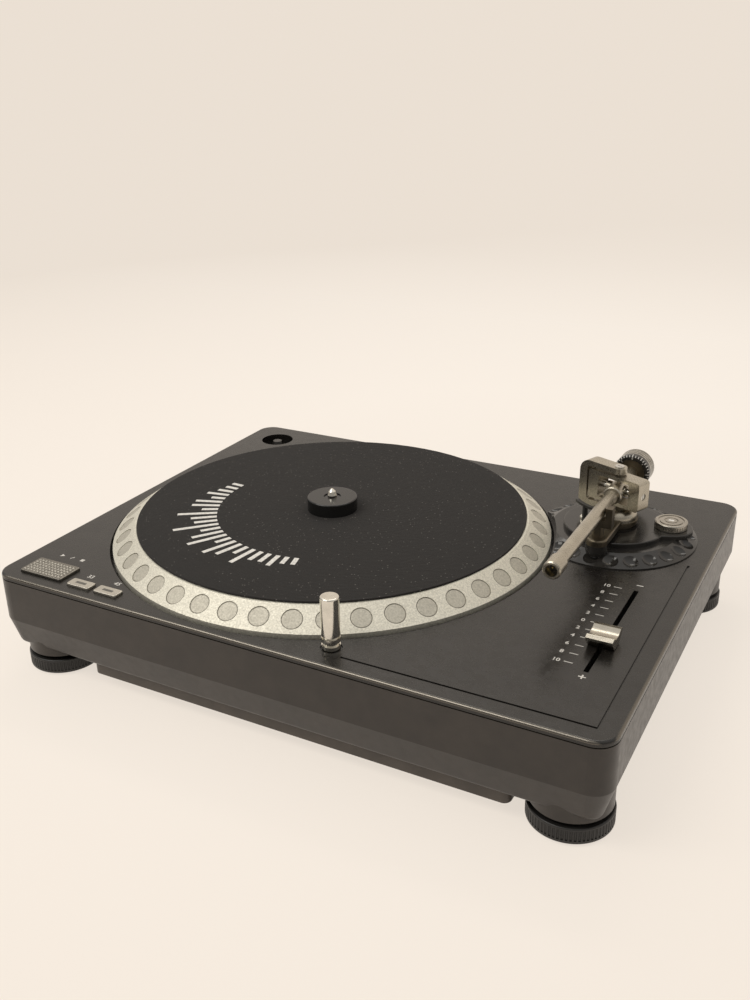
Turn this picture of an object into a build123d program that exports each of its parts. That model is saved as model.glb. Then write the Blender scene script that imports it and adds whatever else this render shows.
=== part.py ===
from build123d import *
import math
import os

# A direct-drive disc-jockey turntable, in millimetres.
# X runs to the right, Y to the back and Z up from the floor.
# The origin is on the floor under the middle of the plinth.

# Fits
running_gap = 0.05          # radial gap of a shaft or pin that turns or slides
seat_gap = 0.02             # radial gap of a pressed or glued seat
moving_gap = 0.35           # gap between a moving piece and what it passes
screw_hole_gap = 0.15       # radial gap of a screw in its hole
screw_radius = 1.5
screw_head_radius = 2.9
screw_head_height = 1.7
edge_round = 0.8            # rounded edges of small turned pieces
cut_past = 3.0              # how far a cut runs past the face that it opens
round_slack = 0.01          # a fully rounded end keeps this much flat

# Platter and its well, which set the size of the plinth
platter_radius = 166.0
platter_top_radius = 149.0
platter_top_height = 14.0   # above the deck
platter_rim_height = 2.0    # lower edge of the bevel above the deck
platter_drop = 6.0          # how far the rim reaches below the deck
platter_wall = 3.6
platter_deck = 4.2          # thickness of the flat top
platter_shoulder = 2.0      # inside edge of the flat top, in from its outside edge
platter_rim_under = 1.5     # inside corner of the rim below its outside corner
platter_hub_radius = 16.0
platter_hub_drop = 4.0
dot_count = 45
dot_diameter = 14.4
dot_start = 2.8             # first mark round the platter, in degrees from +X
dot_depth = 0.6
well_gap = 2.3
well_depth = 12.0
pan_wall = 2.5

# Plinth
front_land = 6.1            # deck in front of the well
back_land = 9.3             # deck behind the well
left_land = 10.6            # deck to the left of the well
arm_land = 102.8            # deck to the right of the well, for the arm and the pitch control
deck_z = 78.0
corner_radius = 14.0
cover_skirt = 3.6
cover_thickness = 3.0
cover_rim = 3.0
cover_edge_round = 1.9
parting_height = 0.8        # groove in the plinth under the edge of the top cover
parting_depth = 1.0
plinth_wall = 3.2
plinth_floor = 4.0
plinth_bottom = 20.0
bottom_round = 4.5
crease_drop = 35.5          # lower edge of the upright walls, below the deck
wall_draft = 16.0           # slope of the walls under the crease, in degrees from upright
cover_screw_spread = 0.8    # share of the half depth, out to the end screws

# Feet
foot_radius = 26.2
foot_inset_x = 29.3
foot_inset_y = 30.0
foot_height = 12.3
foot_rib_count = 66
foot_rib_radius = 0.8
foot_rib_sink = 0.24        # middle of a groove outside the wheel
foot_rib_low = 2.2          # smooth bands under and over the grooves
foot_rib_high = 1.6
foot_edge = 1.0
foot_neck_radius = 18.0
foot_stud_radius = 4.0
foot_stud_length = 17.0
foot_boss_radius = 25.2
foot_boss_low = 15.2        # above the floor
foot_boss_height = 21.0
foot_boss_roof = 2.0
foot_pad_radius = 22.0
foot_pad_thickness = 3.2
foot_pad_seat = 1.8         # how deep the pad sits in the wheel
foot_pad_edge = 0.5

# Bottom cover, electrics and terminals
bottom_cover_low = 10.8     # above the floor
bottom_cover_thickness = 2.2
bottom_cover_wall = 2.5
bottom_cover_lap = 8.0
bottom_cover_corner = 5.0
bottom_cover_inset = 10.0   # from the front and back edges
bottom_cover_left = 75.0    # from the left and right edges
bottom_cover_right = 60.0
cover_column_radius = 3.8
board_thickness = 1.6
main_board_size = (120.0, 90.0)
main_board_inset = (140.0, 116.0)   # middle of the board, from the right and back edges
board_hole_inset = 5.0
chip_places = ((-35.0, 20.0), (10.0, -15.0), (38.0, 25.0))
chip_sizes = ((22.0, 22.0, 2.4), (30.0, 14.0, 3.0), (12.0, 20.0, 9.0))
capacitor_places = ((-40.0, -22.0), (-24.0, -22.0))
capacitor_radius = 6.0
capacitor_height = 16.0
standoff_height = 8.0
standoff_radius = 3.0
transformer_size = (62.0, 52.0, 40.0)
transformer_inset = (129.0, 91.0)   # from the left and back edges
transformer_winding = (46.0, 70.0, 26.0)
transformer_round = 6.0
recess_size = (130.0, 32.0)
recess_inset = 130.0        # middle of the recess, from the right edge
recess_depth = 14.0
recess_wall = 2.5
recess_bottom = 27.0
panel_thickness = 2.0
inlet_size = (28.0, 20.0)
inlet_flange = 2.5
inlet_length = 18.0
inlet_cavity = (20.0, 12.0)
inlet_cavity_depth = 14.4
inlet_blade = (1.6, 3.6)
inlet_blade_places = ((-5.0, -1.5), (0.0, 1.5), (5.0, -1.5))
inlet_blade_inset = 4.5     # ends of the blades behind the panel face
inlet_inset = 21.0          # from the left end of the recess
ground_inset = 13.0         # from its right end
switch_x = -12.0            # places on the terminal panel, from its middle
jack_xs = (16.0, 34.0)
jack_radius = 4.15
jack_bore_radius = 1.7
jack_length = 9.0
jack_flange_radius = 6.0
jack_flange = 1.6
jack_tail = 8.0
jack_bore_floor = 1.0
rocker_size = (13.0, 19.0)
rocker_frame = 2.0
rocker_depth = 9.0
rocker_tilt = 9.0
rocker_proud = 1.5
rocker_foot = (3.8, 4.5)    # half width and depth of the rocker's foot
rocker_end_gap = 1.05
rocker_pin_radius = 1.2
rocker_pin_length = 1.2     # past each side of the rocker
switch_back = 4.0           # thickness of the frame behind the rocker
switch_flange = 1.5
ground_stud_radius = 2.0
ground_nut_radius = 4.5
ground_nut_length = 6.0
ground_nut_groove = (0.5, 4.2)
ground_nut_groove_count = 18
ground_nut_groove_out = 0.2
ground_stud_proud = 11.0
ground_stud_tail = 4.0
ground_stud_head = 3.0

# Spindle, bearing and motor
spindle_radius = 3.575
spindle_height = 31.5       # tip above the deck
spindle_point = 5.0
spindle_round = (2.68, 2.0) # radius of the point's shoulder, and how far it is below the tip
spindle_tip_radius = 0.8
spindle_seat = 0.5          # end of the thick shaft below the top of the platter
shaft_radius = 5.0
shaft_drop = 46.0           # lower end below the deck
bearing_radius = 12.0
bearing_top_drop = 4.0
bearing_floor = 4.0
bearing_flange_radius = 26.0
bearing_flange_thickness = 3.0
thrust_pad_thickness = 2.0
motor_screw_circle = 20.0
stator_radius = 56.0
stator_hub_radius = 24.0
stator_height = 12.0
stator_pole_count = 12
stator_tooth_width = 6.0
stator_shoe = 4.0
stator_shoe_share = 0.72    # of the pitch of the poles
stator_root = 2.0
coil_wall = 2.6
coil_overhang = 0.9         # coil past the top and bottom of its tooth
coil_hub_gap = 5.0
coil_shoe_gap = 1.0
hub_clearance = 1.5         # round the platter hub
magnet_air_gap = 2.5        # round the stator
magnet_wall = 11.5
magnet_height = 10.0
motor_board_radius = 76.0

# Slipmat and single adaptor
mat_radius = 147.5
mat_thickness = 1.5
adaptor_radius = 19.0
adaptor_height = 10.0
adaptor_edge = 1.0
adaptor_dish_radius = 6.5
adaptor_dish_depth = 0.8

# Adaptor store at the back left of the deck
store_inset = (32.0, 31.0)
store_radius = 14.5
store_depth = 8.0
store_pin_radii = (7.0, 4.0)
store_pin_drop = 1.0
store_wall = 2.5

# Buttons at the front left
start_size = (37.5, 21.0)
speed_size = (19.5, 9.0)
button_proud = 2.0
button_travel = 1.5
button_flange = 1.5
button_flange_thickness = 2.2
button_stem_radius = 2.5
button_stem_drop = 10.8
button_corner = 1.5
button_edge = 0.6
row_back_inset = 17.5       # back edge of the speed buttons, from the front of the deck
start_front_inset = 10.0
speed_space = 4.5
start_space = 7.5
row_gap = 0.6
button_board_drop = 17.0    # underside of the board below the deck
button_board_depth = 24.0
button_board_margin = 3.9   # past the middle of its end bosses
button_boss_gap = 0.8
switch_size = 6.0
switch_plunger = (1.7, 1.0)
press_gap = 0.2

# Pop-up target light
target_angle = -60.15       # round the platter, from +X
target_radius = 6.0
target_height = 36.0
target_hidden = 22.0        # length of the post below the deck
target_neck_radius = 4.8
target_neck_heights = ((3.0, 5.2), (8.0, 9.6))
target_sleeve_wall = 1.0
target_pan_gap = 0.16
target_sleeve_drop = 36.0
target_sleeve_sink = 0.8    # top of the sleeve below the deck
target_lamp_radius = 1.8
target_lamp_height = 31.0
target_lamp_depth = 3.5
target_lamp_floor = 0.5
target_edge = 1.0

# Pitch control
pitch_inset = 35.3          # slot from the right edge
pitch_slot_front = 63.3     # front end of the slot, from the front edge
pitch_slot_length = 111.1
pitch_slot_width = 3.2
pitch_rest = 34.7           # knob at rest, from the front end of the slot
pitch_knob_size = (17.0, 21.5)
pitch_knob_height = 9.0
pitch_knob_lift = 0.5
pitch_knob_dish = 2.6
pitch_knob_lip = 3.5
pitch_lip_height = 0.4
pitch_lip_slope = 1.0
pitch_lip_edge = 1.6        # upright edge of each lip
pitch_knob_base = 10.0
pitch_stem = (2.4, 8.0)
pitch_stem_drop = 11.0
pitch_body = (13.0, 126.0, 14.0)
pitch_body_slot = 9.5

# Shallow line engraved round the pitch field
line_width = 1.6
line_depth = 0.9
line_front_inset = 13.0
line_side_inset = 12.5
line_left_end = 172.0       # ends of the line, from the right and back edges
line_back_end = 125.0

# Tonearm base
arm_inset_x = 74.0
arm_inset_y = 96.5
arm_axis_height = 37.0      # arm tube above the deck
bezel_radius = 60.0
bezel_flat_radius = 46.0
bezel_hole_radius = 36.0
bezel_height = 6.5
bezel_edge = 0.9
bezel_well_land = 1.2
bezel_boss_gap = 0.2
dimple_count = 24
dimple_radius = 5.6
dimple_circle = 53.4
dimple_depth = 2.2
dimple_start = -77.0
plate_radius = 38.0
plate_height = 10.0
plate_edge = 0.8
plate_neck_root = 30.4      # where the boss's neck starts, from the arm pivot
nose_flat = 4.0             # upright side of the boss over its round end
wire_hole_radius = 11.0
skate_place = (39.0, 9.0)   # from the arm pivot
skate_radius = 11.9
skate_height = 5.0
skate_lobe = 16.0
skate_lobe_root = 23.6
skate_rings = ((9.6, 8.2), (5.0, 4.2))
skate_ring_depth = 0.5
skate_groove_count = 40
skate_groove_radius = 0.5
skate_groove_low = 1.2      # smooth bands under and over the grooves
skate_groove_high = 1.4
skate_stem_end = 0.5        # above the bezel
skate_stem_radius = 2.0
arm_screw_circle = 27.0
arm_screw_top = 8.0         # end of the screw holes above the deck
pedestal_radius = 16.2
pedestal_height = 15.0
pedestal_foot = (14.0, 2.0) # radius and height of the narrow foot
tongue_reach = 47.5         # rest boss in front of the arm pivot
tongue_radius = 7.8
tongue_low = 13.0           # above the deck
tongue_height = 18.0
tongue_edge = 1.5
rest_size = (8.0, 7.0)
rest_round = 2.5
rest_setback = 1.5          # rest behind the middle of the boss
rest_sink = 1.0
rest_shelf = 6.0
rest_lip = (4.6, 9.0)       # width, and height above the underside of the tube
rest_lip_gap = 0.6

# Gimbal, turned from the arm tube so that it is square to the pickup
gimbal_skew = 21.7
frame_width = 45.4
frame_depth = 12.4
frame_bottom = 26.0
frame_top = 48.5
frame_window = (27.5, 16.8)
frame_round = 2.5
frame_window_round = 1.2
yoke_reach = 31.7
yoke_arm = 7.0
yoke_roof = 4.4
yoke_depth = 11.0
yoke_top = 54.2
yoke_round = 9.0
yoke_base_radius = 15.5
yoke_base_top = 23.5
yoke_base_round = 6.5
pivot_pin_radius = 1.8
pivot_pin_bite = 3.0
pivot_head_rim = 1.6
pivot_head_height = 0.8
pivot_slot = (0.8, 0.5)
side_screw_radius = 2.4
side_screw_bite = 1.9
side_screw_sink = 0.6
side_screw_slot = (1.0, 0.8)
hub_width = 17.0
hub_trunnion_radius = 4.2
hub_radius = 6.2
hub_span = (-7.5, 11.5)     # ends of the barrel in front of the pivot
knuckle_radius = 6.8
knuckle_front = 16.0
knuckle_edge = 0.8

# Arm tube and head socket
tube_radius = 4.8
tube_bore = 3.9
tube_reach = 139.5          # end of the tube in front of the pivot
tube_back = 1.0
collar_radius = 6.2
collar_back = 133.0
collar_front = 147.5
socket_radius = 4.1
socket_lip = 0.8
contact_length = 8.0
pin_radius = 0.5
pin_spread = 1.7
pin_proud = 0.3

# Counterweight
stub_radius = 5.0
stub_reach = 50.0
stub_root = 8.0
bush_radius = 10.4
bush_span = (34.0, 51.8)
weight_radius = 13.6
weight_span = (40.7, 52.6)
weight_groove = 0.5
weight_grooves = (43.0, 46.0, 49.0)
weight_groove_width = 0.7
dial_radius = 13.7
dial_span = (35.2, 40.3)
dial_cone = 1.2
weight_edge = 1.2

# Cueing lift
cue_circle = 30.8
cue_angle = -121.4
cue_arc = (-142.0, -87.0)
cue_bar = (3.0, 1.8)
cue_under_tube = 0.5
cue_post_radius = 2.0
cue_post_end = 6.0          # lower end above the deck, raised
cue_lever_length = 15.0
cue_lever_angle = 110.0
cue_lever_width = 4.0
cue_lever_hub = 4.2
cue_lever_end = 2.6
cue_lever_thickness = 2.4
cue_knob_height = 6.2       # from the underside of the lever
cue_knob_round = 1.6

# Worked-out sizes and places
well_radius = platter_radius + well_gap
pan_radius = well_radius + pan_wall
body_width = left_land + 2 * well_radius + arm_land
body_depth = front_land + 2 * well_radius + back_land
left_x = -body_width / 2
right_x = body_width / 2
front_y = -body_depth / 2
back_y = body_depth / 2
platter_at = (left_x + left_land + well_radius, front_y + front_land + well_radius)
platter_top = deck_z + platter_top_height
mat_top = platter_top + mat_thickness
cover_under = deck_z - cover_thickness
plinth_top = deck_z - cover_skirt
crease_z = deck_z - crease_drop
pan_floor = deck_z - well_depth
pan_under = pan_floor - pan_wall
foot_x = right_x - foot_inset_x
foot_y = back_y - foot_inset_y
arm_at = (right_x - arm_inset_x, back_y - arm_inset_y)
arm_z = deck_z + arm_axis_height
pitch_x = right_x - pitch_inset
pitch_slot_low = front_y + pitch_slot_front
pitch_slot_at = (pitch_x, pitch_slot_low + pitch_slot_length / 2)
pitch_rest_y = pitch_slot_low + pitch_rest
recess_x = right_x - recess_inset
main_board_place = (right_x - main_board_inset[0], back_y - main_board_inset[1])
transformer_place = (left_x + transformer_inset[0], back_y - transformer_inset[1])
bottom_cover_top = bottom_cover_low + bottom_cover_thickness
bottom_cover_size = (body_width - bottom_cover_left - bottom_cover_right, body_depth - 2 * bottom_cover_inset)
bottom_cover_at = ((bottom_cover_left - bottom_cover_right) / 2, 0.0)
recess_middle_z = recess_bottom + recess_wall + recess_size[1] / 2
panel_face_y = back_y - recess_depth
panel_back_y = panel_face_y - panel_thickness
inlet_x = inlet_inset - recess_size[0] / 2
ground_x = recess_size[0] / 2 - ground_inset
magnet_inner_radius = stator_radius + magnet_air_gap
hub_back, hub_front = hub_span
BOTTOM = (Align.CENTER, Align.CENTER, Align.MIN)
FRONT_OF_PIVOT = Pos(arm_at[0], arm_at[1], arm_z) * Rot(90, 0, 0)
GIMBAL = Pos(arm_at[0], arm_at[1], deck_z) * Rot(0, 0, -gimbal_skew)


# Helpers
def disc(radius, low, high, at=(0.0, 0.0)):
    """Upright cylinder between two heights."""
    return Pos(at[0], at[1], low) * Cylinder(radius, high - low, align=BOTTOM)


def ring(outer, inner, low, high, at=(0.0, 0.0)):
    return disc(outer, low, high, at) - disc(inner, low, high, at)


def block(size_x, size_y, low, high, at=(0.0, 0.0)):
    """Upright box between two heights, centred on a place."""
    return Pos(at[0], at[1], low) * Box(size_x, size_y, high - low, align=BOTTOM)


def rounded_block(size_x, size_y, radius, low, high, at=(0.0, 0.0)):
    return Pos(at[0], at[1], low) * extrude(RectangleRounded(size_x, size_y, radius), high - low)


def spun(points, at=(0.0, 0.0)):
    """Solid turned from a closed outline of (radius, height) points."""
    outline = make_face(Polyline(*points, close=True))
    return Pos(at[0], at[1], 0) * revolve(Plane.XZ * outline, Axis.Z)


def polar(radius, angle, at=(0.0, 0.0)):
    turn = math.radians(angle)
    return (at[0] + radius * math.cos(turn), at[1] + radius * math.sin(turn))


def on_back(radius, near_y, far_y, x, z):
    """Cylinder along Y between two depths."""
    return Pos(x, near_y, z) * Rot(-90, 0, 0) * Cylinder(radius, far_y - near_y, align=BOTTOM)


def on_back_block(size_x, size_z, near_y, far_y, x, z):
    return Pos(x, (near_y + far_y) / 2, z) * Box(size_x, far_y - near_y, size_z)


def group(solids):
    return Compound(children=list(solids))


def foot_places():
    for name, side, end in (("front_left", -1, -1), ("front_right", 1, -1),
                            ("back_left", -1, 1), ("back_right", 1, 1)):
        yield name, (side * foot_x, end * foot_y)


# Buttons stand in a row that ends where the wall of the platter pan crosses it
row_back_y = front_y + row_back_inset
row_reach = math.sqrt((pan_radius + row_gap) ** 2 - (row_back_y + button_flange - platter_at[1]) ** 2)
row_end_x = platter_at[0] - row_reach - button_flange
speed_y = row_back_y - speed_size[1] / 2
speed_45_at = (row_end_x - speed_size[0] / 2, speed_y)
speed_33_at = (speed_45_at[0] - speed_size[0] - speed_space, speed_y)
start_at = (speed_33_at[0] - (speed_size[0] + start_size[0]) / 2 - start_space,
            front_y + start_front_inset + start_size[1] / 2)
BUTTONS = {
    "start_stop_button": (start_at, start_size),
    "speed_33_button": (speed_33_at, speed_size),
    "speed_45_button": (speed_45_at, speed_size),
}
boss_space = button_flange + standoff_radius + button_boss_gap
boss_left_x = start_at[0] - start_size[0] / 2 - boss_space
boss_right_x = row_end_x + boss_space
button_board_at = ((boss_left_x + boss_right_x) / 2, start_at[1])
button_board_size = (boss_right_x - boss_left_x + 2 * button_board_margin, button_board_depth)
button_board_top = deck_z - button_board_drop + board_thickness
target_at = polar(pan_radius + target_radius + target_sleeve_wall + running_gap + target_pan_gap,
                  target_angle, platter_at)
store_at = (left_x + store_inset[0], back_y - store_inset[1])
skate_at = (arm_at[0] + skate_place[0], arm_at[1] + skate_place[1])
tongue_at = (arm_at[0], arm_at[1] - tongue_reach)
cue_at = polar(cue_circle, cue_angle, arm_at)


# Plinth, covers and feet
def cover_screw_places():
    lap_x = bottom_cover_size[0] / 2 - bottom_cover_lap / 2
    lap_y = bottom_cover_size[1] / 2 - bottom_cover_lap / 2
    return [(bottom_cover_at[0] + side * lap_x, lap_y * share) for side in (-1, 1)
            for share in (-cover_screw_spread, 0, cover_screw_spread)]


def engraved_line():
    low, high = deck_z - line_depth, deck_z + cut_past
    line_y = front_y + line_front_inset
    line_x = right_x - line_side_inset
    left_x_end = right_x - line_left_end
    back_y_end = back_y - line_back_end
    front = block(line_x - left_x_end, line_width, low, high, ((line_x + left_x_end) / 2, line_y))
    side = block(line_width, back_y_end - line_y, low, high, (line_x, (back_y_end + line_y) / 2))
    return front + side


def top_cover():
    cover = rounded_block(body_width, body_depth, corner_radius, plinth_top, deck_z)
    cover = fillet(cover.faces().sort_by(Axis.Z)[-1].edges(), cover_edge_round)
    inner_corner = corner_radius - cover_rim
    cover -= rounded_block(body_width - 2 * cover_rim, body_depth - 2 * cover_rim, inner_corner,
                           plinth_top, cover_under)
    cover += disc(pan_radius, pan_under, cover_under, platter_at)
    cover -= disc(well_radius, pan_floor, deck_z, platter_at)
    cover -= disc(bearing_radius + screw_hole_gap, pan_under, pan_floor, platter_at)
    for place in motor_screw_places():
        cover -= disc(screw_radius + screw_hole_gap, pan_under, pan_floor, place)
    cover += disc(store_radius + store_wall, deck_z - store_depth - store_wall, cover_under, store_at)
    cover -= disc(store_radius, deck_z - store_depth, deck_z, store_at)
    low_pin, high_pin = store_pin_radii
    store_low = deck_z - store_depth
    cover += Pos(*store_at, store_low) * Cone(low_pin, high_pin, store_depth - store_pin_drop, align=BOTTOM)
    for at, size in BUTTONS.values():
        cover -= rounded_block(size[0] + 2 * moving_gap, size[1] + 2 * moving_gap,
                               button_corner + moving_gap, cover_under, deck_z, at)
    for place in button_boss_places():
        cover += disc(standoff_radius, button_board_top, cover_under, place)
    cover -= disc(target_radius + running_gap + target_sleeve_wall + seat_gap, cover_under, deck_z, target_at)
    cover -= block(pitch_slot_width, pitch_slot_length, cover_under, deck_z, pitch_slot_at)
    cover -= disc(wire_hole_radius, cover_under, deck_z, arm_at)
    for place in arm_screw_places():
        cover -= disc(screw_radius + screw_hole_gap, cover_under, deck_z, place)
    return cover - engraved_line()


def plinth_block(inset, low):
    """Upright walls over sloped ones, set in from the outside."""
    outline = RectangleRounded(body_width - 2 * inset, body_depth - 2 * inset, corner_radius - inset)
    upper = Pos(0, 0, crease_z) * extrude(outline, plinth_top - crease_z)
    lower = extrude(outline, crease_z - low, taper=wall_draft)
    return upper + Pos(0, 0, crease_z) * Rot(180, 0, 0) * lower


def parting_groove():
    """Narrow groove all round the plinth, under the edge of the top cover."""
    low = plinth_top - parting_height
    past = rounded_block(body_width + 2 * cut_past, body_depth + 2 * cut_past, corner_radius + cut_past,
                         low, plinth_top)
    return past - rounded_block(body_width - 2 * parting_depth, body_depth - 2 * parting_depth,
                                corner_radius - parting_depth, low, plinth_top)


def plinth():
    outside = plinth_block(0.0, plinth_bottom)
    outside = fillet(outside.faces().sort_by(Axis.Z)[0].edges(), bottom_round)
    outside -= parting_groove()
    floor_top = plinth_bottom + plinth_floor
    body = outside - plinth_block(plinth_wall, floor_top)
    boss_top = foot_boss_low + foot_boss_height
    for _, place in foot_places():
        body += disc(foot_boss_radius, foot_boss_low, boss_top, place)
        body -= disc(foot_stud_radius + running_gap, foot_boss_low, boss_top - foot_boss_roof, place)
    opening = [size - 2 * bottom_cover_lap for size in bottom_cover_size]
    body -= rounded_block(*opening, bottom_cover_corner, plinth_bottom, floor_top, bottom_cover_at)
    for place in cover_screw_places():
        body -= disc(screw_radius + seat_gap, plinth_bottom, floor_top, place)
    box = (recess_size[0] + 2 * recess_wall, recess_size[1] + 2 * recess_wall)
    body += outside & on_back_block(*box, panel_face_y, back_y - plinth_wall / 2, recess_x, recess_middle_z)
    return body - on_back_block(*recess_size, panel_face_y, back_y, recess_x, recess_middle_z)


def bottom_cover():
    """Shallow tray under the plinth, on columns for its screws."""
    cover = rounded_block(*bottom_cover_size, bottom_cover_corner, bottom_cover_low, plinth_bottom,
                          bottom_cover_at)
    inside = [size - 2 * bottom_cover_wall for size in bottom_cover_size]
    cover -= rounded_block(*inside, bottom_cover_corner - bottom_cover_wall, bottom_cover_top, plinth_bottom,
                           bottom_cover_at)
    for place in main_board_corners():
        cover += disc(standoff_radius, bottom_cover_top, bottom_cover_top + standoff_height, place)
    for place in cover_screw_places():
        cover += disc(cover_column_radius, bottom_cover_low, plinth_bottom, place)
        cover -= disc(screw_radius + screw_hole_gap, bottom_cover_low, plinth_bottom, place)
    return cover


def screw(head_top, tip, at):
    """Screw driven upwards, with its head below head_top."""
    head = disc(screw_head_radius, head_top - screw_head_height, head_top, at)
    head = fillet(head.edges().sort_by(Axis.Z)[0], screw_head_height / 3)
    return head + disc(screw_radius, head_top, tip, at)


def machine_screws():
    """Screws of the bottom cover, the platter bearing and the tonearm base."""
    cover = [(bottom_cover_low, plinth_bottom + plinth_floor, at) for at in cover_screw_places()]
    bearing = [(pan_under - bearing_flange_thickness, pan_floor, at) for at in motor_screw_places()]
    arm = [(cover_under, deck_z + arm_screw_top - press_gap, at) for at in arm_screw_places()]
    return group(screw(*row) for row in cover + bearing + arm)


def foot_wheel(at):
    low = foot_pad_thickness - foot_pad_seat
    wheel = disc(foot_radius, low, foot_height)
    wheel = fillet(wheel.edges().filter_by(GeomType.CIRCLE), foot_edge)
    groove = disc(foot_rib_radius, low + foot_rib_low, foot_height - foot_rib_high)
    wheel -= [place * groove for place in PolarLocations(foot_radius + foot_rib_sink, foot_rib_count)]
    wheel -= disc(foot_pad_radius + running_gap, low, foot_pad_thickness)
    wheel += disc(foot_neck_radius, foot_height, foot_boss_low - moving_gap)
    wheel += disc(foot_stud_radius, foot_height, foot_height + foot_stud_length)
    return Pos(*at, 0) * wheel


def foot_pad(at):
    pad = disc(foot_pad_radius, 0, foot_pad_thickness)
    return Pos(*at, 0) * chamfer(pad.edges().sort_by(Axis.Z)[0], foot_pad_edge)


# Electrics and terminals
def main_board_corners():
    span_x, span_y = (size / 2 - board_hole_inset for size in main_board_size)
    return [(main_board_place[0] + sx * span_x, main_board_place[1] + sy * span_y)
            for sx in (-1, 1) for sy in (-1, 1)]


def main_board():
    low = bottom_cover_top + standoff_height
    board = block(*main_board_size, low, low + board_thickness, main_board_place)
    top = low + board_thickness
    px, py = main_board_place
    for (dx, dy), (size_x, size_y, height) in zip(chip_places, chip_sizes):
        board += block(size_x, size_y, top, top + height, (px + dx, py + dy))
    for dx, dy in capacitor_places:
        board += disc(capacitor_radius, top, top + capacitor_height, (px + dx, py + dy))
    return board


def transformer():
    core_x, core_y, core_z = transformer_size
    wind_x, wind_y, wind_z = transformer_winding
    low = bottom_cover_top
    core = block(core_x, core_y, low, low + core_z, transformer_place)
    winding_low = low + (core_z - wind_z) / 2
    winding = rounded_block(wind_x, wind_y, transformer_round, winding_low, winding_low + wind_z,
                            transformer_place)
    return core + winding


def terminal_x(offset):
    return recess_x + offset


def terminal_panel():
    box = (recess_size[0] + 2 * recess_wall, recess_size[1] + 2 * recess_wall)
    panel = on_back_block(*box, panel_back_y, panel_face_y, recess_x, recess_middle_z)
    panel -= on_back_block(inlet_size[0] + 2 * seat_gap, inlet_size[1] + 2 * seat_gap, panel_back_y,
                           panel_face_y, terminal_x(inlet_x), recess_middle_z)
    switch_hole = [size + 2 * (rocker_frame + seat_gap) for size in rocker_size]
    panel -= on_back_block(*switch_hole, panel_back_y, panel_face_y, terminal_x(switch_x), recess_middle_z)
    for x in jack_xs:
        panel -= on_back(jack_radius + seat_gap, panel_back_y, panel_face_y, terminal_x(x), recess_middle_z)
    return panel - on_back(ground_stud_radius + seat_gap, panel_back_y, panel_face_y,
                           terminal_x(ground_x), recess_middle_z)


def power_inlet():
    x, z = terminal_x(inlet_x), recess_middle_z
    flange = (inlet_size[0] + 2 * inlet_flange, inlet_size[1] + 2 * inlet_flange)
    body = on_back_block(*flange, panel_face_y, panel_face_y + inlet_flange, x, z)
    body += on_back_block(*inlet_size, panel_face_y - inlet_length, panel_face_y, x, z)
    cavity_floor = panel_face_y + inlet_flange - inlet_cavity_depth
    body -= on_back_block(*inlet_cavity, cavity_floor, panel_face_y + inlet_flange, x, z)
    for dx, dz in inlet_blade_places:
        body += on_back_block(*inlet_blade, cavity_floor, panel_face_y - inlet_blade_inset, x + dx, z + dz)
    return body


def switch_frame():
    x, z = terminal_x(switch_x), recess_middle_z
    outer = (rocker_size[0] + 2 * rocker_frame, rocker_size[1] + 2 * rocker_frame)
    flange = [size + 2 * switch_flange for size in outer]
    face_y = panel_face_y + switch_flange
    frame = on_back_block(*outer, panel_face_y - rocker_depth - switch_back, panel_face_y, x, z)
    frame += on_back_block(*flange, panel_face_y, face_y, x, z)
    frame -= on_back_block(rocker_size[0] + 2 * moving_gap, rocker_size[1] + 2 * rocker_end_gap,
                           panel_face_y - rocker_depth, face_y, x, z)
    return frame - Pos(x, panel_face_y, z) * rocker_pins(running_gap, moving_gap)


def rocker_pins(extra_radius=0.0, extra_length=0.0):
    length = rocker_size[0] + 2 * (rocker_pin_length + extra_length)
    return Rot(0, 90, 0) * Cylinder(rocker_pin_radius + extra_radius, length)


def power_rocker():
    """Rocker with its face bent in two planes, tipped to one side at rest."""
    half = rocker_size[1] / 2
    rise = half * math.tan(math.radians(rocker_tilt))
    foot_half, foot_depth = rocker_foot
    end = rise + rocker_proud
    outline = Polyline((-half, 0), (-half, end), (0, rocker_proud), (half, end), (half, 0),
                       (foot_half, -foot_depth), (-foot_half, -foot_depth), close=True)
    rocker = extrude(Plane.YZ * make_face(outline), rocker_size[0] / 2, both=True) + rocker_pins()
    turn = Rot(-90, 0, 0) * Rot(rocker_tilt, 0, 0)
    return Pos(terminal_x(switch_x), panel_face_y, recess_middle_z) * turn * rocker


def signal_jacks():
    def jack(x):
        tip = panel_face_y + jack_length
        body = on_back(jack_radius, panel_back_y - jack_tail, tip, x, recess_middle_z)
        body += on_back(jack_flange_radius, panel_face_y, panel_face_y + jack_flange, x, recess_middle_z)
        return body - on_back(jack_bore_radius, panel_face_y + jack_bore_floor, tip, x, recess_middle_z)
    return group(jack(terminal_x(x)) for x in jack_xs)


def ground_stud():
    x, z = terminal_x(ground_x), recess_middle_z
    near, far = panel_back_y - ground_stud_tail, panel_face_y + ground_stud_proud
    stud = on_back(ground_stud_radius, near, far, x, z)
    return stud + on_back(ground_nut_radius, panel_back_y - ground_stud_head, panel_back_y, x, z)


def ground_nut():
    x, z = terminal_x(ground_x), recess_middle_z
    near = panel_face_y + moving_gap
    nut = on_back(ground_nut_radius, near, near + ground_nut_length, x, z)
    nut -= on_back(ground_stud_radius + running_gap, near, near + ground_nut_length, x, z)
    groove = Cylinder(*ground_nut_groove)
    turned = Pos(x, near + ground_nut_length / 2, z) * Rot(-90, 0, 0)
    circle = PolarLocations(ground_nut_radius + ground_nut_groove_out, ground_nut_groove_count)
    return nut - [turned * place * groove for place in circle]


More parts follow.
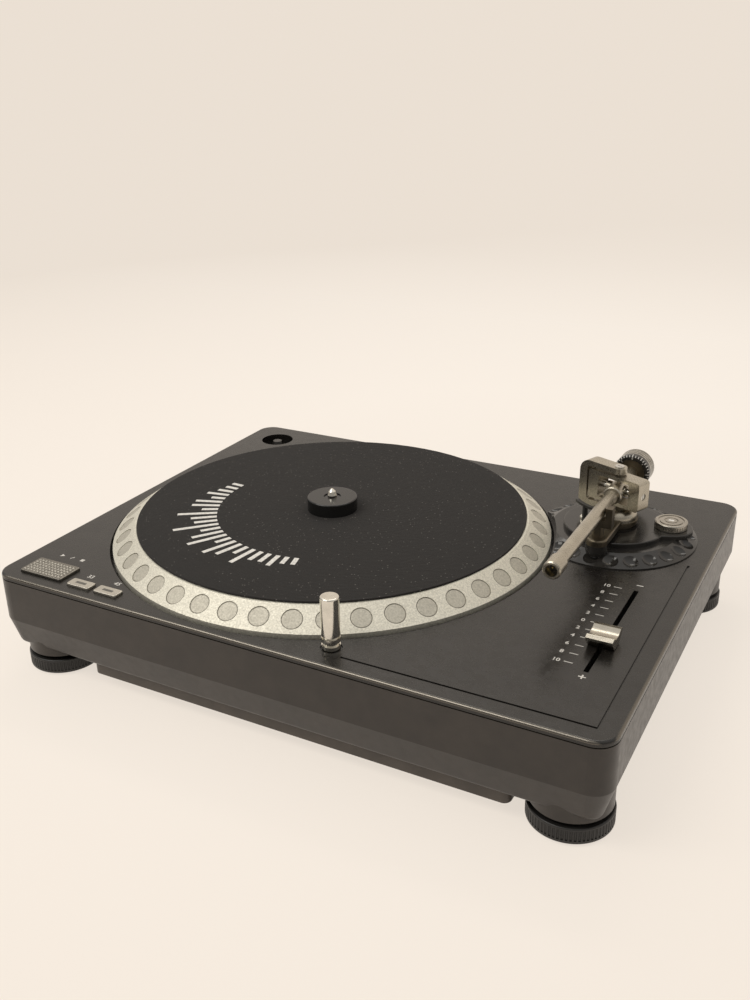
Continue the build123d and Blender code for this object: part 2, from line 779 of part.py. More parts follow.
# Platter, bearing and motor
def dots():
    """Round marks on the bevel of the platter, square to its slope."""
    mid_radius = (platter_radius + platter_top_radius) / 2
    mid_z = deck_z + (platter_top_height + platter_rim_height) / 2
    slope = math.degrees(math.atan2(platter_top_height - platter_rim_height,
                                    platter_radius - platter_top_radius))
    tool = Pos(mid_radius, 0, mid_z) * Rot(0, slope, 0) * Pos(0, 0, -dot_depth)
    mark = tool * Cylinder(dot_diameter / 2, dot_depth + cut_past, align=BOTTOM)
    return [Rot(0, 0, dot_start + i * 360 / dot_count) * mark for i in range(dot_count)]


def platter():
    rim_z, low = deck_z + platter_rim_height, deck_z - platter_drop
    under = platter_top - platter_deck
    wall_inner = platter_radius - platter_wall
    bore = shaft_radius + seat_gap
    outline = [(bore, platter_top), (platter_top_radius, platter_top), (platter_radius, rim_z),
               (platter_radius, low), (wall_inner, low), (wall_inner, rim_z - platter_rim_under),
               (platter_top_radius - platter_shoulder, under), (platter_hub_radius, under),
               (platter_hub_radius, deck_z - platter_hub_drop), (bore, deck_z - platter_hub_drop)]
    return Pos(*platter_at, 0) * (spun(outline) - dots())


def slipmat():
    return ring(mat_radius, spindle_radius + moving_gap, platter_top, mat_top, platter_at)


def spindle():
    tip = deck_z + spindle_height
    shoulder = platter_top - spindle_seat
    round_radius, round_drop = spindle_round
    outline = [(0, deck_z - shaft_drop), (shaft_radius, deck_z - shaft_drop), (shaft_radius, shoulder),
               (spindle_radius, shoulder), (spindle_radius, tip - spindle_point),
               (round_radius, tip - round_drop), (spindle_tip_radius, tip), (0, tip)]
    return spun(outline, platter_at)


def rotor_magnet():
    under = platter_top - platter_deck
    outer = magnet_inner_radius + magnet_wall
    return ring(outer, magnet_inner_radius, under - magnet_height, under, platter_at)


def bearing_housing():
    top = deck_z - bearing_top_drop - platter_hub_drop - moving_gap
    low = deck_z - shaft_drop - thrust_pad_thickness - bearing_floor
    body = disc(bearing_radius, low, top, platter_at)
    body += disc(bearing_flange_radius, pan_under - bearing_flange_thickness, pan_under, platter_at)
    body -= disc(shaft_radius + running_gap, low + bearing_floor, top, platter_at)
    for place in motor_screw_places():
        body -= disc(screw_radius + screw_hole_gap, pan_under - bearing_flange_thickness, pan_under, place)
    return body


def thrust_pad():
    top = deck_z - shaft_drop
    return disc(shaft_radius - seat_gap, top - thrust_pad_thickness, top, platter_at)


def motor_screw_places():
    return [polar(motor_screw_circle, angle, platter_at) for angle in (90, 210, 330)]


def motor_board():
    return ring(motor_board_radius, bearing_radius + screw_hole_gap, pan_floor,
                pan_floor + board_thickness, platter_at)


def stator_core():
    low = pan_floor + board_thickness
    high = low + stator_height
    tooth_low = low + coil_overhang
    core = ring(stator_hub_radius, platter_hub_radius + hub_clearance, low, high)
    tooth_length = stator_radius - stator_hub_radius
    tooth_middle = stator_hub_radius + tooth_length / 2
    tooth = block(tooth_length + stator_root, stator_tooth_width, tooth_low, high,
                  (tooth_middle - stator_root / 2, 0))
    shoe_half = stator_radius * math.sin(math.pi / stator_pole_count * stator_shoe_share)
    shoe = block(stator_shoe, 2 * shoe_half, tooth_low, high, (stator_radius - stator_shoe / 2, 0))
    pole = tooth + shoe
    core += [Rot(0, 0, i * 360 / stator_pole_count) * pole for i in range(stator_pole_count)]
    return Pos(*platter_at, 0) * (core & disc(stator_radius, low, high))


def stator_coils():
    low = pan_floor + board_thickness
    high = low + stator_height + coil_overhang
    inner, outer = stator_hub_radius + coil_hub_gap, stator_radius - stator_shoe - coil_shoe_gap
    hole = stator_tooth_width + 2 * seat_gap
    length = outer - inner
    at = ((inner + outer) / 2, 0)
    coil = block(length, hole + 2 * coil_wall, low, high, at)
    coil -= block(length, hole, low + coil_overhang - seat_gap, high - coil_overhang + seat_gap, at)
    return group(Pos(*platter_at, 0) * Rot(0, 0, i * 360 / stator_pole_count) * coil
                 for i in range(stator_pole_count))


def adaptor():
    body = disc(adaptor_radius, mat_top, mat_top + adaptor_height, platter_at)
    body = fillet(body.edges().sort_by(Axis.Z)[-1], adaptor_edge)
    top = mat_top + adaptor_height
    body -= disc(adaptor_dish_radius, top - adaptor_dish_depth, top, platter_at)
    return body - disc(spindle_radius + running_gap, mat_top, top, platter_at)


# Buttons and target light
def button(at, size):
    top = deck_z + button_proud
    flange_top = cover_under - moving_gap
    cap = rounded_block(*size, button_corner, flange_top, top, at)
    cap = fillet(cap.faces().sort_by(Axis.Z)[-1].edges(), button_edge)
    cap += rounded_block(size[0] + 2 * button_flange, size[1] + 2 * button_flange, button_corner,
                         flange_top - button_flange_thickness, flange_top, at)
    return cap + disc(button_stem_radius, deck_z - button_stem_drop, flange_top, at)


def button_boss_places():
    rise = button_board_depth / 4
    return [(boss_left_x, start_at[1] - rise), (boss_left_x, start_at[1] + rise), (boss_right_x, speed_y)]


def button_board():
    return block(*button_board_size, button_board_top - board_thickness, button_board_top, button_board_at)


def button_switches():
    top = deck_z - button_stem_drop - button_travel - press_gap
    low = button_board_top
    plunger_radius, plunger_height = switch_plunger
    body_top = top - plunger_height
    return group(block(switch_size, switch_size, low, body_top, at) + disc(plunger_radius, body_top, top, at)
                 for at, _ in BUTTONS.values())


def target_sleeve():
    bore = target_radius + running_gap
    return ring(bore + target_sleeve_wall, bore, deck_z - target_sleeve_drop, deck_z - target_sleeve_sink,
                target_at)


def target_lamp_line(radius, depth):
    """Short cylinder into the post, facing the middle of the platter."""
    facing = target_angle + 180
    inside = Pos(target_radius - depth, 0, 0) * Rot(0, 90, 0) * Cylinder(radius, depth, align=BOTTOM)
    return Pos(*target_at, deck_z + target_lamp_height) * Rot(0, 0, facing) * inside


def target_post():
    top = deck_z + target_height
    post = disc(target_radius, deck_z - target_hidden, top, target_at)
    post = fillet(post.edges().sort_by(Axis.Z)[-1], target_edge)
    for low, high in target_neck_heights:
        post -= ring(target_radius + cut_past, target_neck_radius, deck_z + low, deck_z + high, target_at)
    return post - target_lamp_line(target_lamp_radius + seat_gap, target_lamp_depth + target_lamp_floor)


def target_lamp():
    return target_lamp_line(target_lamp_radius, target_lamp_depth)


# Pitch control
def pitch_fader():
    size_x, size_y, size_z = pitch_body
    body = block(size_x, size_y, cover_under - size_z, cover_under, pitch_slot_at)
    return body - block(pitch_slot_width, pitch_slot_length, cover_under - pitch_body_slot, cover_under,
                        pitch_slot_at)


def pitch_knob():
    """Cap dished across its length, with lips that overhang at its front and back edges."""
    half_y = pitch_knob_size[1] / 2
    low = deck_z + pitch_knob_lift
    top = low + pitch_knob_height
    lip = half_y - pitch_knob_lip
    dish_z = top - pitch_lip_height
    edge_z = top - pitch_lip_slope
    under_z = edge_z - pitch_lip_edge
    base = pitch_knob_base / 2
    outline = [Polyline((-lip, dish_z), (-lip, top), (-half_y, edge_z), (-half_y, under_z), (-base, low),
                        (base, low), (half_y, under_z), (half_y, edge_z), (lip, top), (lip, dish_z)),
               ThreePointArc((lip, dish_z), (0, top - pitch_knob_dish), (-lip, dish_z))]
    cap = extrude(Plane.YZ * make_face(outline), pitch_knob_size[0] / 2, both=True)
    cap += block(*pitch_stem, deck_z - pitch_stem_drop, low)
    return Pos(pitch_x, pitch_rest_y, 0) * cap


# Tonearm base
def keyhole(at, radius, end_at, end_radius):
    """Outline round two circles and the straight sides between them."""
    circles = Pos(*at) * Circle(radius) + Pos(*end_at) * Circle(end_radius)
    return make_hull(circles.edges())


def bezel_outline(extra=0.0):
    low, top = deck_z, deck_z + bezel_height + extra
    return [(bezel_hole_radius - extra, low), (bezel_radius + extra, low),
            (bezel_radius + extra, low + bezel_edge + extra), (bezel_flat_radius + extra, top),
            (bezel_hole_radius - extra, top)]


def arm_bezel():
    """Sloped ring with round scoops, cut off where the platter well passes it."""
    body = spun(bezel_outline())
    slope = math.degrees(math.atan2(bezel_height - bezel_edge, bezel_radius - bezel_flat_radius))
    share = (bezel_radius - dimple_circle) / (bezel_radius - bezel_flat_radius)
    dimple_z = deck_z + bezel_edge + share * (bezel_height - bezel_edge)
    ball = (dimple_radius ** 2 + dimple_depth ** 2) / (2 * dimple_depth)
    surface = Pos(dimple_circle, 0, dimple_z) * Rot(0, slope, 0)
    dimple = surface * Pos(0, 0, ball - dimple_depth) * Sphere(ball)
    step = 360 / dimple_count
    body -= [Rot(0, 0, dimple_start + i * step) * dimple for i in range(dimple_count)]
    body = Pos(*arm_at, 0) * body
    return body - disc(well_radius + bezel_well_land, deck_z, deck_z + bezel_height + cut_past, platter_at)


def arm_screw_places():
    return [polar(arm_screw_circle, angle, arm_at) for angle in (60, 150, 270)]


def arm_base_plate():
    lobe = keyhole(arm_at, skate_lobe_root, skate_at, skate_lobe)
    outline = Pos(*arm_at) * Circle(plate_radius) + lobe
    low, top = deck_z + bezel_height, deck_z + plate_height
    plate = Pos(0, 0, low) * extrude(outline, top - low)
    plate = fillet(plate.faces().sort_by(Axis.Z)[-1].edges(), plate_edge)
    plate += disc(bezel_hole_radius - moving_gap, deck_z, low, arm_at)
    boss_top = deck_z + tongue_low
    nose_z = boss_top - nose_flat
    nose = disc(tongue_radius, nose_z - tongue_radius, nose_z, tongue_at)
    nose &= Pos(*tongue_at, nose_z) * Sphere(tongue_radius)
    boss = nose + disc(tongue_radius, nose_z, boss_top, tongue_at)
    neck = block(2 * tongue_radius, tongue_reach - plate_neck_root, low, top,
                 (arm_at[0], (tongue_at[1] + arm_at[1] - plate_neck_root) / 2))
    plate += (boss + neck) - Pos(*arm_at, 0) * spun(bezel_outline(bezel_boss_gap))
    plate -= disc(wire_hole_radius, deck_z, top, arm_at)
    plate -= disc(cue_post_radius + running_gap, deck_z, top, cue_at)
    plate -= disc(skate_stem_radius + running_gap, low, top, skate_at)
    for place in arm_screw_places():
        plate -= disc(screw_radius + seat_gap, deck_z, deck_z + arm_screw_top, place)
    return plate


def arm_pedestal():
    """Round casting under the gimbal, with the arm rest on its tongue."""
    low, high = deck_z + plate_height, deck_z + pedestal_height
    foot_radius_in, foot_rise = pedestal_foot
    body = disc(foot_radius_in, low, high, arm_at) + disc(pedestal_radius, low + foot_rise, high, arm_at)
    tongue_top = deck_z + tongue_height
    outline = keyhole(arm_at, tongue_radius, tongue_at, tongue_radius)
    tongue = Pos(0, 0, deck_z + tongue_low) * extrude(outline, tongue_height - tongue_low)
    tongue = fillet(tongue.faces().sort_by(Axis.Z)[-1].edges(), tongue_edge)
    body += tongue - disc(yoke_base_radius + seat_gap, high, tongue_top, arm_at)
    tube_under = arm_z - tube_radius
    rest_at = (tongue_at[0], tongue_at[1] + rest_setback)
    rest_low = tongue_top - rest_sink
    body += rounded_block(*rest_size, rest_round, rest_low, tube_under - moving_gap, rest_at)
    lip_width, lip_height = rest_lip
    lip_inner_x = rest_at[0] + tube_radius + rest_lip_gap
    lip_outer_x = lip_inner_x + lip_width
    shelf_low = tube_under - rest_shelf
    body += block(lip_width, rest_size[1], shelf_low, tube_under + lip_height,
                  ((lip_inner_x + lip_outer_x) / 2, rest_at[1]))
    body += block(lip_outer_x - rest_at[0], rest_size[1], shelf_low, tube_under - moving_gap,
                  ((lip_outer_x + rest_at[0]) / 2, rest_at[1]))
    return body - disc(pivot_pin_radius + seat_gap, low, high, arm_at)


# Gimbal
def gimbal_yoke():
    """Fixed bracket that rises beside the gimbal and reaches over it to the upper pivot."""
    inner_x = yoke_reach - yoke_arm
    low, top = pedestal_height, yoke_top
    end = yoke_depth / 2
    outside = Box(yoke_reach + end, yoke_depth, top - low)
    outside = Pos((end - yoke_reach) / 2, 0, (low + top) / 2) * outside
    outside = fillet(outside.edges().filter_by(Axis.Y).sort_by(Axis.X)[:2], yoke_round)
    outside = fillet(outside.edges().filter_by(Axis.Z).sort_by(Axis.X)[-2:], end - round_slack)
    window_low, window_high = yoke_base_top, yoke_top - yoke_roof
    window = Pos(-inner_x, 0, window_low) * Box(inner_x + yoke_reach, yoke_depth, window_high - window_low,
                                                align=(Align.MIN, Align.CENTER, Align.MIN))
    window = fillet(window.edges().filter_by(Axis.Y).sort_by(Axis.X)[:2], yoke_round - yoke_arm)
    body = outside - window
    base = disc(yoke_base_radius, pedestal_height, yoke_base_top)
    body += fillet(base.edges().sort_by(Axis.Z)[-1], yoke_base_round)
    body -= disc(pivot_pin_radius + seat_gap, pedestal_height, yoke_base_top)
    body -= disc(pivot_pin_radius + seat_gap, window_high, yoke_top)
    return GIMBAL * body


def vertical_pivots():
    lower = disc(pivot_pin_radius, plate_height, frame_bottom + pivot_pin_bite)
    upper = disc(pivot_pin_radius, frame_top - pivot_pin_bite, yoke_top)
    head_top = yoke_top + pivot_head_height
    slot_width, slot_depth = pivot_slot
    upper += disc(pivot_pin_radius + pivot_head_rim, yoke_top, head_top)
    upper -= block(2 * pivot_pin_radius, slot_width, head_top - slot_depth, head_top)
    return group((GIMBAL * lower, GIMBAL * upper))


def gimbal_frame():
    height = frame_top - frame_bottom
    frame = Pos(0, 0, frame_bottom) * Box(frame_width, frame_depth, height, align=BOTTOM)
    frame = fillet(frame.edges().filter_by(Axis.Y), frame_round)
    axis_z = arm_axis_height
    window = Box(frame_window[0], frame_depth, frame_window[1])
    frame -= Pos(0, 0, axis_z) * fillet(window.edges().filter_by(Axis.Y), frame_window_round)
    pin = pivot_pin_radius + running_gap
    frame -= disc(pin, frame_bottom, frame_bottom + pivot_pin_bite + moving_gap)
    frame -= disc(pin, frame_top - pivot_pin_bite - moving_gap, frame_top)
    for side in (-1, 1):
        hole = Cylinder(side_screw_radius + seat_gap, frame_width)
        frame -= Pos(side * frame_width / 2, 0, axis_z) * Rot(0, 90, 0) * hole
    return GIMBAL * frame


def side_pivot_screws():
    def pivot(side):
        inner, outer = hub_width / 2 - side_screw_bite, frame_width / 2 - side_screw_sink
        shank = Rot(0, 90, 0) * Cylinder(side_screw_radius, outer - inner)
        shank = Pos(side * (inner + outer) / 2, 0, arm_axis_height) * shank
        slot = Box(*side_screw_slot, 2 * side_screw_radius + cut_past)
        return GIMBAL * (shank - Pos(side * outer, 0, arm_axis_height) * slot)
    return group(pivot(side) for side in (-1, 1))


def arm_hub():
    """Barrel that tips inside the gimbal on two trunnions and holds the arm tube and the rear stub."""
    across = GIMBAL * Pos(0, 0, arm_axis_height) * Rot(0, 90, 0)
    body = along_arm([(0, hub_back), (hub_radius, hub_back), (hub_radius, hub_front),
                      (knuckle_radius, hub_front + knuckle_edge),
                      (knuckle_radius, knuckle_front - knuckle_edge),
                      (knuckle_radius - knuckle_edge, knuckle_front), (0, knuckle_front)])
    body += across * Cylinder(hub_trunnion_radius, hub_width)
    hole = Cylinder(side_screw_radius + running_gap, 2 * (side_screw_bite + moving_gap))
    for side in (-1, 1):
        body -= across * Pos(0, 0, side * hub_width / 2) * hole
    return body - FRONT_OF_PIVOT * Cylinder(tube_radius + seat_gap, 2 * (knuckle_front + cut_past))


def along_arm(points):
    """Solid turned round the arm's axis from (radius, distance in front of the pivot) points."""
    return FRONT_OF_PIVOT * spun(points)


# Arm tube, head socket and counterweight
def arm_tube():
    return along_arm([(tube_bore, tube_back), (tube_radius, tube_back), (tube_radius, tube_reach),
                      (tube_bore, tube_reach)])


def arm_collar():
    lip = collar_front - socket_lip
    sleeve = tube_radius + running_gap
    seat = tube_reach + moving_gap
    return along_arm([(sleeve, collar_back), (collar_radius - edge_round, collar_back),
                      (collar_radius, collar_back + edge_round), (collar_radius, lip),
                      (collar_radius - socket_lip, collar_front), (socket_radius, collar_front),
                      (socket_radius, seat), (sleeve, seat)])


def contact_block():
    back, radius = tube_reach - contact_length, tube_bore - seat_gap
    body = along_arm([(0, back), (radius, back), (radius, tube_reach), (0, tube_reach)])
    hole = Cylinder(pin_radius + seat_gap, 2 * collar_front)
    return body - [FRONT_OF_PIVOT * place * hole for place in contact_places()]


def contact_places():
    return [Pos(sx * pin_spread, sy * pin_spread, 0) for sx in (-1, 1) for sy in (-1, 1)]


def contact_pins():
    low, high = tube_reach - contact_length, tube_reach + pin_proud
    pin = Pos(0, 0, low) * Cylinder(pin_radius, high - low, align=BOTTOM)
    return group(FRONT_OF_PIVOT * place * pin for place in contact_places())


def rear_stub():
    return along_arm([(0, 0), (tube_radius, 0), (tube_radius, -stub_root), (stub_radius, -stub_root),
                      (stub_radius, -stub_reach), (0, -stub_reach)])


def weight_bush():
    near, far = bush_span
    return along_arm([(stub_radius + running_gap, -near), (bush_radius, -near), (bush_radius, -far),
                      (stub_radius + running_gap, -far)])


def counterweight():
    near, far = weight_span
    bore = bush_radius + running_gap
    body = along_arm([(bore, -near), (weight_radius, -near), (weight_radius, -far + weight_edge),
                      (weight_radius - weight_edge, -far), (bore, -far)])
    floor = weight_radius - weight_groove
    for at in weight_grooves:
        end = at + weight_groove_width
        body -= along_arm([(floor, -at), (weight_radius + cut_past, -at), (weight_radius + cut_past, -end),
                           (floor, -end)])
    return body


def force_dial():
    near, far = dial_span
    bore = bush_radius + running_gap
    return along_arm([(bore, -near), (dial_radius - dial_cone, -near), (dial_radius, -near - dial_cone),
                      (dial_radius, -far), (bore, -far)])


def anti_skate_knob():
    low = deck_z + plate_height + moving_gap
    top = low + skate_height
    knob = disc(skate_radius, low, top, skate_at)
    knob = fillet(knob.edges().sort_by(Axis.Z)[-1], edge_round)
    for outer, inner in skate_rings:
        knob -= ring(outer, inner, top - skate_ring_depth, top, skate_at)
    groove = disc(skate_groove_radius, low + skate_groove_low, top - skate_groove_high)
    knob -= [Pos(*skate_at) * place * groove for place in PolarLocations(skate_radius, skate_groove_count)]
    return knob + disc(skate_stem_radius, deck_z + bezel_height + skate_stem_end, low, skate_at)


# Cueing lift
def cue_lift():
    """Curved bar under the arm tube, on a post that rises from the base plate."""
    width, thickness = cue_bar
    top = arm_z - tube_radius - cue_under_tube
    low = top - thickness
    start, end = cue_arc
    section = Plane.XZ * Pos(cue_circle, (low + top) / 2) * Rectangle(width, thickness)
    bar = Rot(0, 0, start) * revolve(section, Axis.Z, end - start)
    post = disc(cue_post_radius, deck_z + cue_post_end, low + thickness / 2, cue_at)
    return Pos(*arm_at, 0) * bar + post


def cue_lever():
    low = deck_z + plate_height + moving_gap
    top = low + cue_lever_thickness
    arm = block(cue_lever_length, cue_lever_width, low, top, (cue_lever_length / 2, 0))
    knob = disc(cue_lever_end, low, low + cue_knob_height, (cue_lever_length, 0))
    arm += fillet(knob.edges().sort_by(Axis.Z)[-1], cue_knob_round)
    lever = disc(cue_lever_hub, low, top) + arm - disc(cue_post_radius + running_gap, low, top)
    return Pos(*cue_at, 0) * Rot(0, 0, cue_lever_angle) * lever


NODES = {
    "top_cover": top_cover, "plinth": plinth, "bottom_cover": bottom_cover, "machine_screws": machine_screws,
    "main_board": main_board, "transformer": transformer, "terminal_panel": terminal_panel,
    "power_inlet": power_inlet, "switch_frame": switch_frame, "power_rocker": power_rocker,
    "signal_jacks": signal_jacks, "ground_stud": ground_stud, "ground_nut": ground_nut,
    "platter": platter, "slipmat": slipmat, "spindle": spindle, "rotor_magnet": rotor_magnet,
    "bearing_housing": bearing_housing, "thrust_pad": thrust_pad, "motor_board": motor_board,
    "stator_core": stator_core, "stator_coils": stator_coils,
    "single_adaptor": adaptor, "button_board": button_board, "button_switches": button_switches,
    "target_light_sleeve": target_sleeve, "target_light_post": target_post, "target_lamp": target_lamp,
    "pitch_fader": pitch_fader, "pitch_knob": pitch_knob, "arm_bezel": arm_bezel,
    "arm_base_plate": arm_base_plate, "arm_pedestal": arm_pedestal,
    "gimbal_yoke": gimbal_yoke, "vertical_pivots": vertical_pivots, "gimbal_frame": gimbal_frame,
    "side_pivot_screws": side_pivot_screws, "arm_hub": arm_hub, "arm_tube": arm_tube,
    "arm_collar": arm_collar, "contact_block": contact_block, "contact_pins": contact_pins,
    "rear_stub": rear_stub, "weight_bush": weight_bush, "counterweight": counterweight,
    "force_dial": force_dial, "anti_skate_knob": anti_skate_knob, "cue_lift": cue_lift,
    "cue_lever": cue_lever,
}


def main():
    os.makedirs("parts", exist_ok=True)
    pieces = {name: make() for name, make in NODES.items()}
    for name, (at, size) in BUTTONS.items():
        pieces[name] = button(at, size)
    for name, place in foot_places():
        pieces["foot_" + name] = foot_wheel(place)
        pieces["foot_pad_" + name] = foot_pad(place)
    for name, piece in pieces.items():
        export_step(piece, f"parts/{name}.step")


main()
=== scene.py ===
import math
import random

import bmesh
import bpy
from mathutils import Matrix, Vector


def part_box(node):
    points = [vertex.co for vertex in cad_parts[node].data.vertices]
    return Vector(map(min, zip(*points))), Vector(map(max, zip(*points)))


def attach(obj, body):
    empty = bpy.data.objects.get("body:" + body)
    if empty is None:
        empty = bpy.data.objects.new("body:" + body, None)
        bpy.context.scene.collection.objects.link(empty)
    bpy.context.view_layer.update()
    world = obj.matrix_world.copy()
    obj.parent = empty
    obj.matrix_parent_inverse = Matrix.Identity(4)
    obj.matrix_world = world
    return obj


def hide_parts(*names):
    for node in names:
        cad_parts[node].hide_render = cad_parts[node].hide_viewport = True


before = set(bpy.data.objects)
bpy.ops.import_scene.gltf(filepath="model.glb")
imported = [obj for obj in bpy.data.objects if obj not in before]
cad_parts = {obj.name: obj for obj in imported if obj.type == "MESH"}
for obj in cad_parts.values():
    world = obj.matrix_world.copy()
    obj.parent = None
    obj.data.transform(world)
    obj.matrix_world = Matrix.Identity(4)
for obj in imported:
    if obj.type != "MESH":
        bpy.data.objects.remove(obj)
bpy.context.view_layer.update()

MM = 0.001

# Places and sizes of the solids, in metres
deck_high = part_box("top_cover")[1]
deck_top = deck_high.z
mat_low, mat_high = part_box("slipmat")
mat_radius = (mat_high.x - mat_low.x) / 2
platter_axis = Vector(((mat_low.x + mat_high.x) / 2, (mat_low.y + mat_high.y) / 2, 0))
platter_low, platter_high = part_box("platter")
platter_radius = (platter_high.x - platter_low.x) / 2

# Prints
print_lift = 0.03 * MM          # underside of a print above its surface
print_thickness = 0.05 * MM
deck_print = deck_top + print_lift + print_thickness / 2    # middle of a print on the deck
letter_weight = 0.02            # outline of a character, as a share of its size

# Platter dots: a dark sheet, painted shade in the gap round the disc, and a disc lie in each round recess of
# the bevel
dot_count = 45
dot_start = math.radians(2.8)
dot_sides = 40
dot_recess = 0.6 * MM
dot_radius = 6.6 * MM
dot_thickness = 0.25 * MM
dot_wall = 0.6                  # upright share of a disc's thickness, under its chamfer
# dark sheet under each disc, a painted shade that shows in the gap round it
dot_shade_radius = 7.1 * MM
dot_shade_thickness = 0.05 * MM
bevel_top_radius = 149.0 * MM
bevel_low_height = 2.0 * MM     # above the deck

# Slipmat
mat_hole_radius = 3.9 * MM
mat_rings = 70
mat_segments = 240
mat_fuzz = 0.10 * MM
mat_edge_round = 0.5 * MM
mat_edge_steps = 3
mat_under_inset = 0.15 * MM     # of the underside, from the outer edge
mat_seed = 7

# Design printed on the slipmat: radial bars along an arc
bar_count = 25
bar_arc = (176.0, 284.0)        # degrees round the platter
bar_inner_radius = 88.0 * MM
bar_width = 3.4 * MM
bar_lengths = (10.0 * MM, 34.0 * MM)
bar_steady = 0.55               # share of the swell that neighbouring bars have in common
bar_beat = 2.3                  # radians from bar to bar in the rest of it

# Pitch scale
scale_count = 11
scale_full = 10                 # number at either end
scale_step = 2
scale_first_y = -2.5 * MM
scale_last_y = -107.0 * MM
scale_tick = (174.5 * MM, 180.0 * MM)
scale_tick_width = 0.65 * MM
scale_number_x = 169.6 * MM
scale_number_size = 5.0 * MM
plus_at = (189.4 * MM, -118.7 * MM)
minus_at = (190.0 * MM, 6.4 * MM)
sign_size = 4.6 * MM
sign_width = 1.0 * MM

# Buttons
button_flange = 1.5 * MM        # rim round the foot of a button, under the deck
strip_share = (0.45, 0.26)      # dark bar of a speed button, of its length and width
strip_thickness = 0.12 * MM
stud_columns = 12
stud_rows = 6
stud_margin = 1.6 * MM
stud_height = 0.7 * MM
stud_foot = 0.86                # side of a stud's foot, as a share of the step between studs
stud_top = 0.18                 # half diagonal of its flat top, as a share of that step

# Labels beside the buttons
label_size = 5.4 * MM
label_gap = 6.8 * MM            # from the back edge of a speed button
label_inset = 14.2 * MM         # from its right edge
symbol_size = 3.6 * MM
symbol_gap = 10.2 * MM          # from the back edge of the start button
symbol_spread = 9.5 * MM
triangle_radius = 0.6 * symbol_size
square_side = 0.85 * symbol_size
slash_width = 0.7 * MM
slash_turn = math.radians(60)

# Force dial and anti-skate knob
dial_front_radius = 12.5 * MM
dial_cone = 1.2 * MM
dial_ticks = 36
dial_long_every = 3
dial_tick_width = 0.6 * MM
dial_tick_length = 1.8 * MM     # of a longer graduation, along the rim
dial_tick_thickness = 0.12 * MM
dial_numbers = 8
dial_cycle = 4                  # numbers before they start again
dial_number_radius = 11.3 * MM
dial_number_size = 2.0 * MM
skate_mark_size = (4.0 * MM, 2.4 * MM)

# Cue lever
cue_knob_height = 6.2 * MM
cue_knob_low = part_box("cue_lever")[1].z - cue_knob_height
cue_bar_colour = (0.016, 0.015, 0.0145)
cue_knob_colour = (0.72, 0.69, 0.62)

# Paint of the deck, and a painted highlight, paler and metallic, along its rounded outer edge
deck_colour = (0.0115, 0.0100, 0.0086)
# paler colour of the painted highlight on the deck's rounded edge
painted_highlight_colour = (0.16, 0.147, 0.128)
edge_width = 1.9 * MM
edge_side_fade = 0.5            # share of the edge's width over which the painted highlight grows bright, on top
edge_low_fade = 0.2             # the same on the upright side

# Felt: dark fibres, and pale lint on some of the cells that it is divided into
fibre_scale = 2600.0
fibre_span = (0.3, 0.75)
fibre_colours = ((0.0045, 0.0040, 0.0036), (0.017, 0.0146, 0.0130))
fibre_depth = 0.25 * MM
felt_sheen = (0.55, 0.52, 0.5, 1)
lint_scale = 420.0
lint_radius = (0.10, 0.22)      # where a speck starts to fade and where it ends, in cells
lint_choice = (0.62, 0.70)      # value of a cell between no lint and a whole speck
lint_colour = (0.15, 0.14, 0.125)

# Surfaces
noise_span = (0.3, 0.7)         # values of a noise that are spread over a whole range
paint_gloss_spread = 0.05       # unevenness of the roughness
metal_gloss_spread = 0.07
paint_gloss_scale = 3.1         # scale of that unevenness, times the scale of the mottling
black = (0, 0, 0)
white = (1, 1, 1)

# Camera, from the fit to the photograph
camera_place = (0.329875, -0.624389, 0.412838)
camera_azimuth = 28.558
camera_elevation = 23.327
camera_roll = -1.042
camera_lens = 37.305
camera_sensor = 36.0

# Studio
floor_half = 5.0
floor_front = -3.2
wall_start = 1.5
wall_bend = 0.8
wall_steps = 12
wall_top = 3.0
stage_colour = (0.90, 0.825, 0.75, 1)
stage_middle = (0.0, 0.3, 0.0)
stage_fade = (0.35, 1.5)        # distances from the middle between the pale and the dim
stage_pale = (0.975, 0.890, 0.795)
stage_dim = (0.83, 0.745, 0.655)
floor_glow = 0.75               # share of the floor's own light near the object
glow_grows = (0.3, 1.0)         # Y between that share and the whole
lamp_colour = (1.0, 0.96, 0.89)
key_place = (-1.0, -1.1, 1.7)
key_size = (1.7, 0.8)
key_power = 19.5
back_place = (-0.5, 1.05, 1.65)
back_size = (1.2, 0.35)
back_power = 4.5
sky_bright_towards = (0.0, 0.45, 0.89)
sky_bright_from = 0.8           # cosine of the angle to that direction
sky_dark = (0.34, 0.325, 0.305)
sky_bright = (0.84, 0.815, 0.78)


# Materials
def tinted(colour, factor):
    return tuple(min(1.0, channel * factor) for channel in colour)


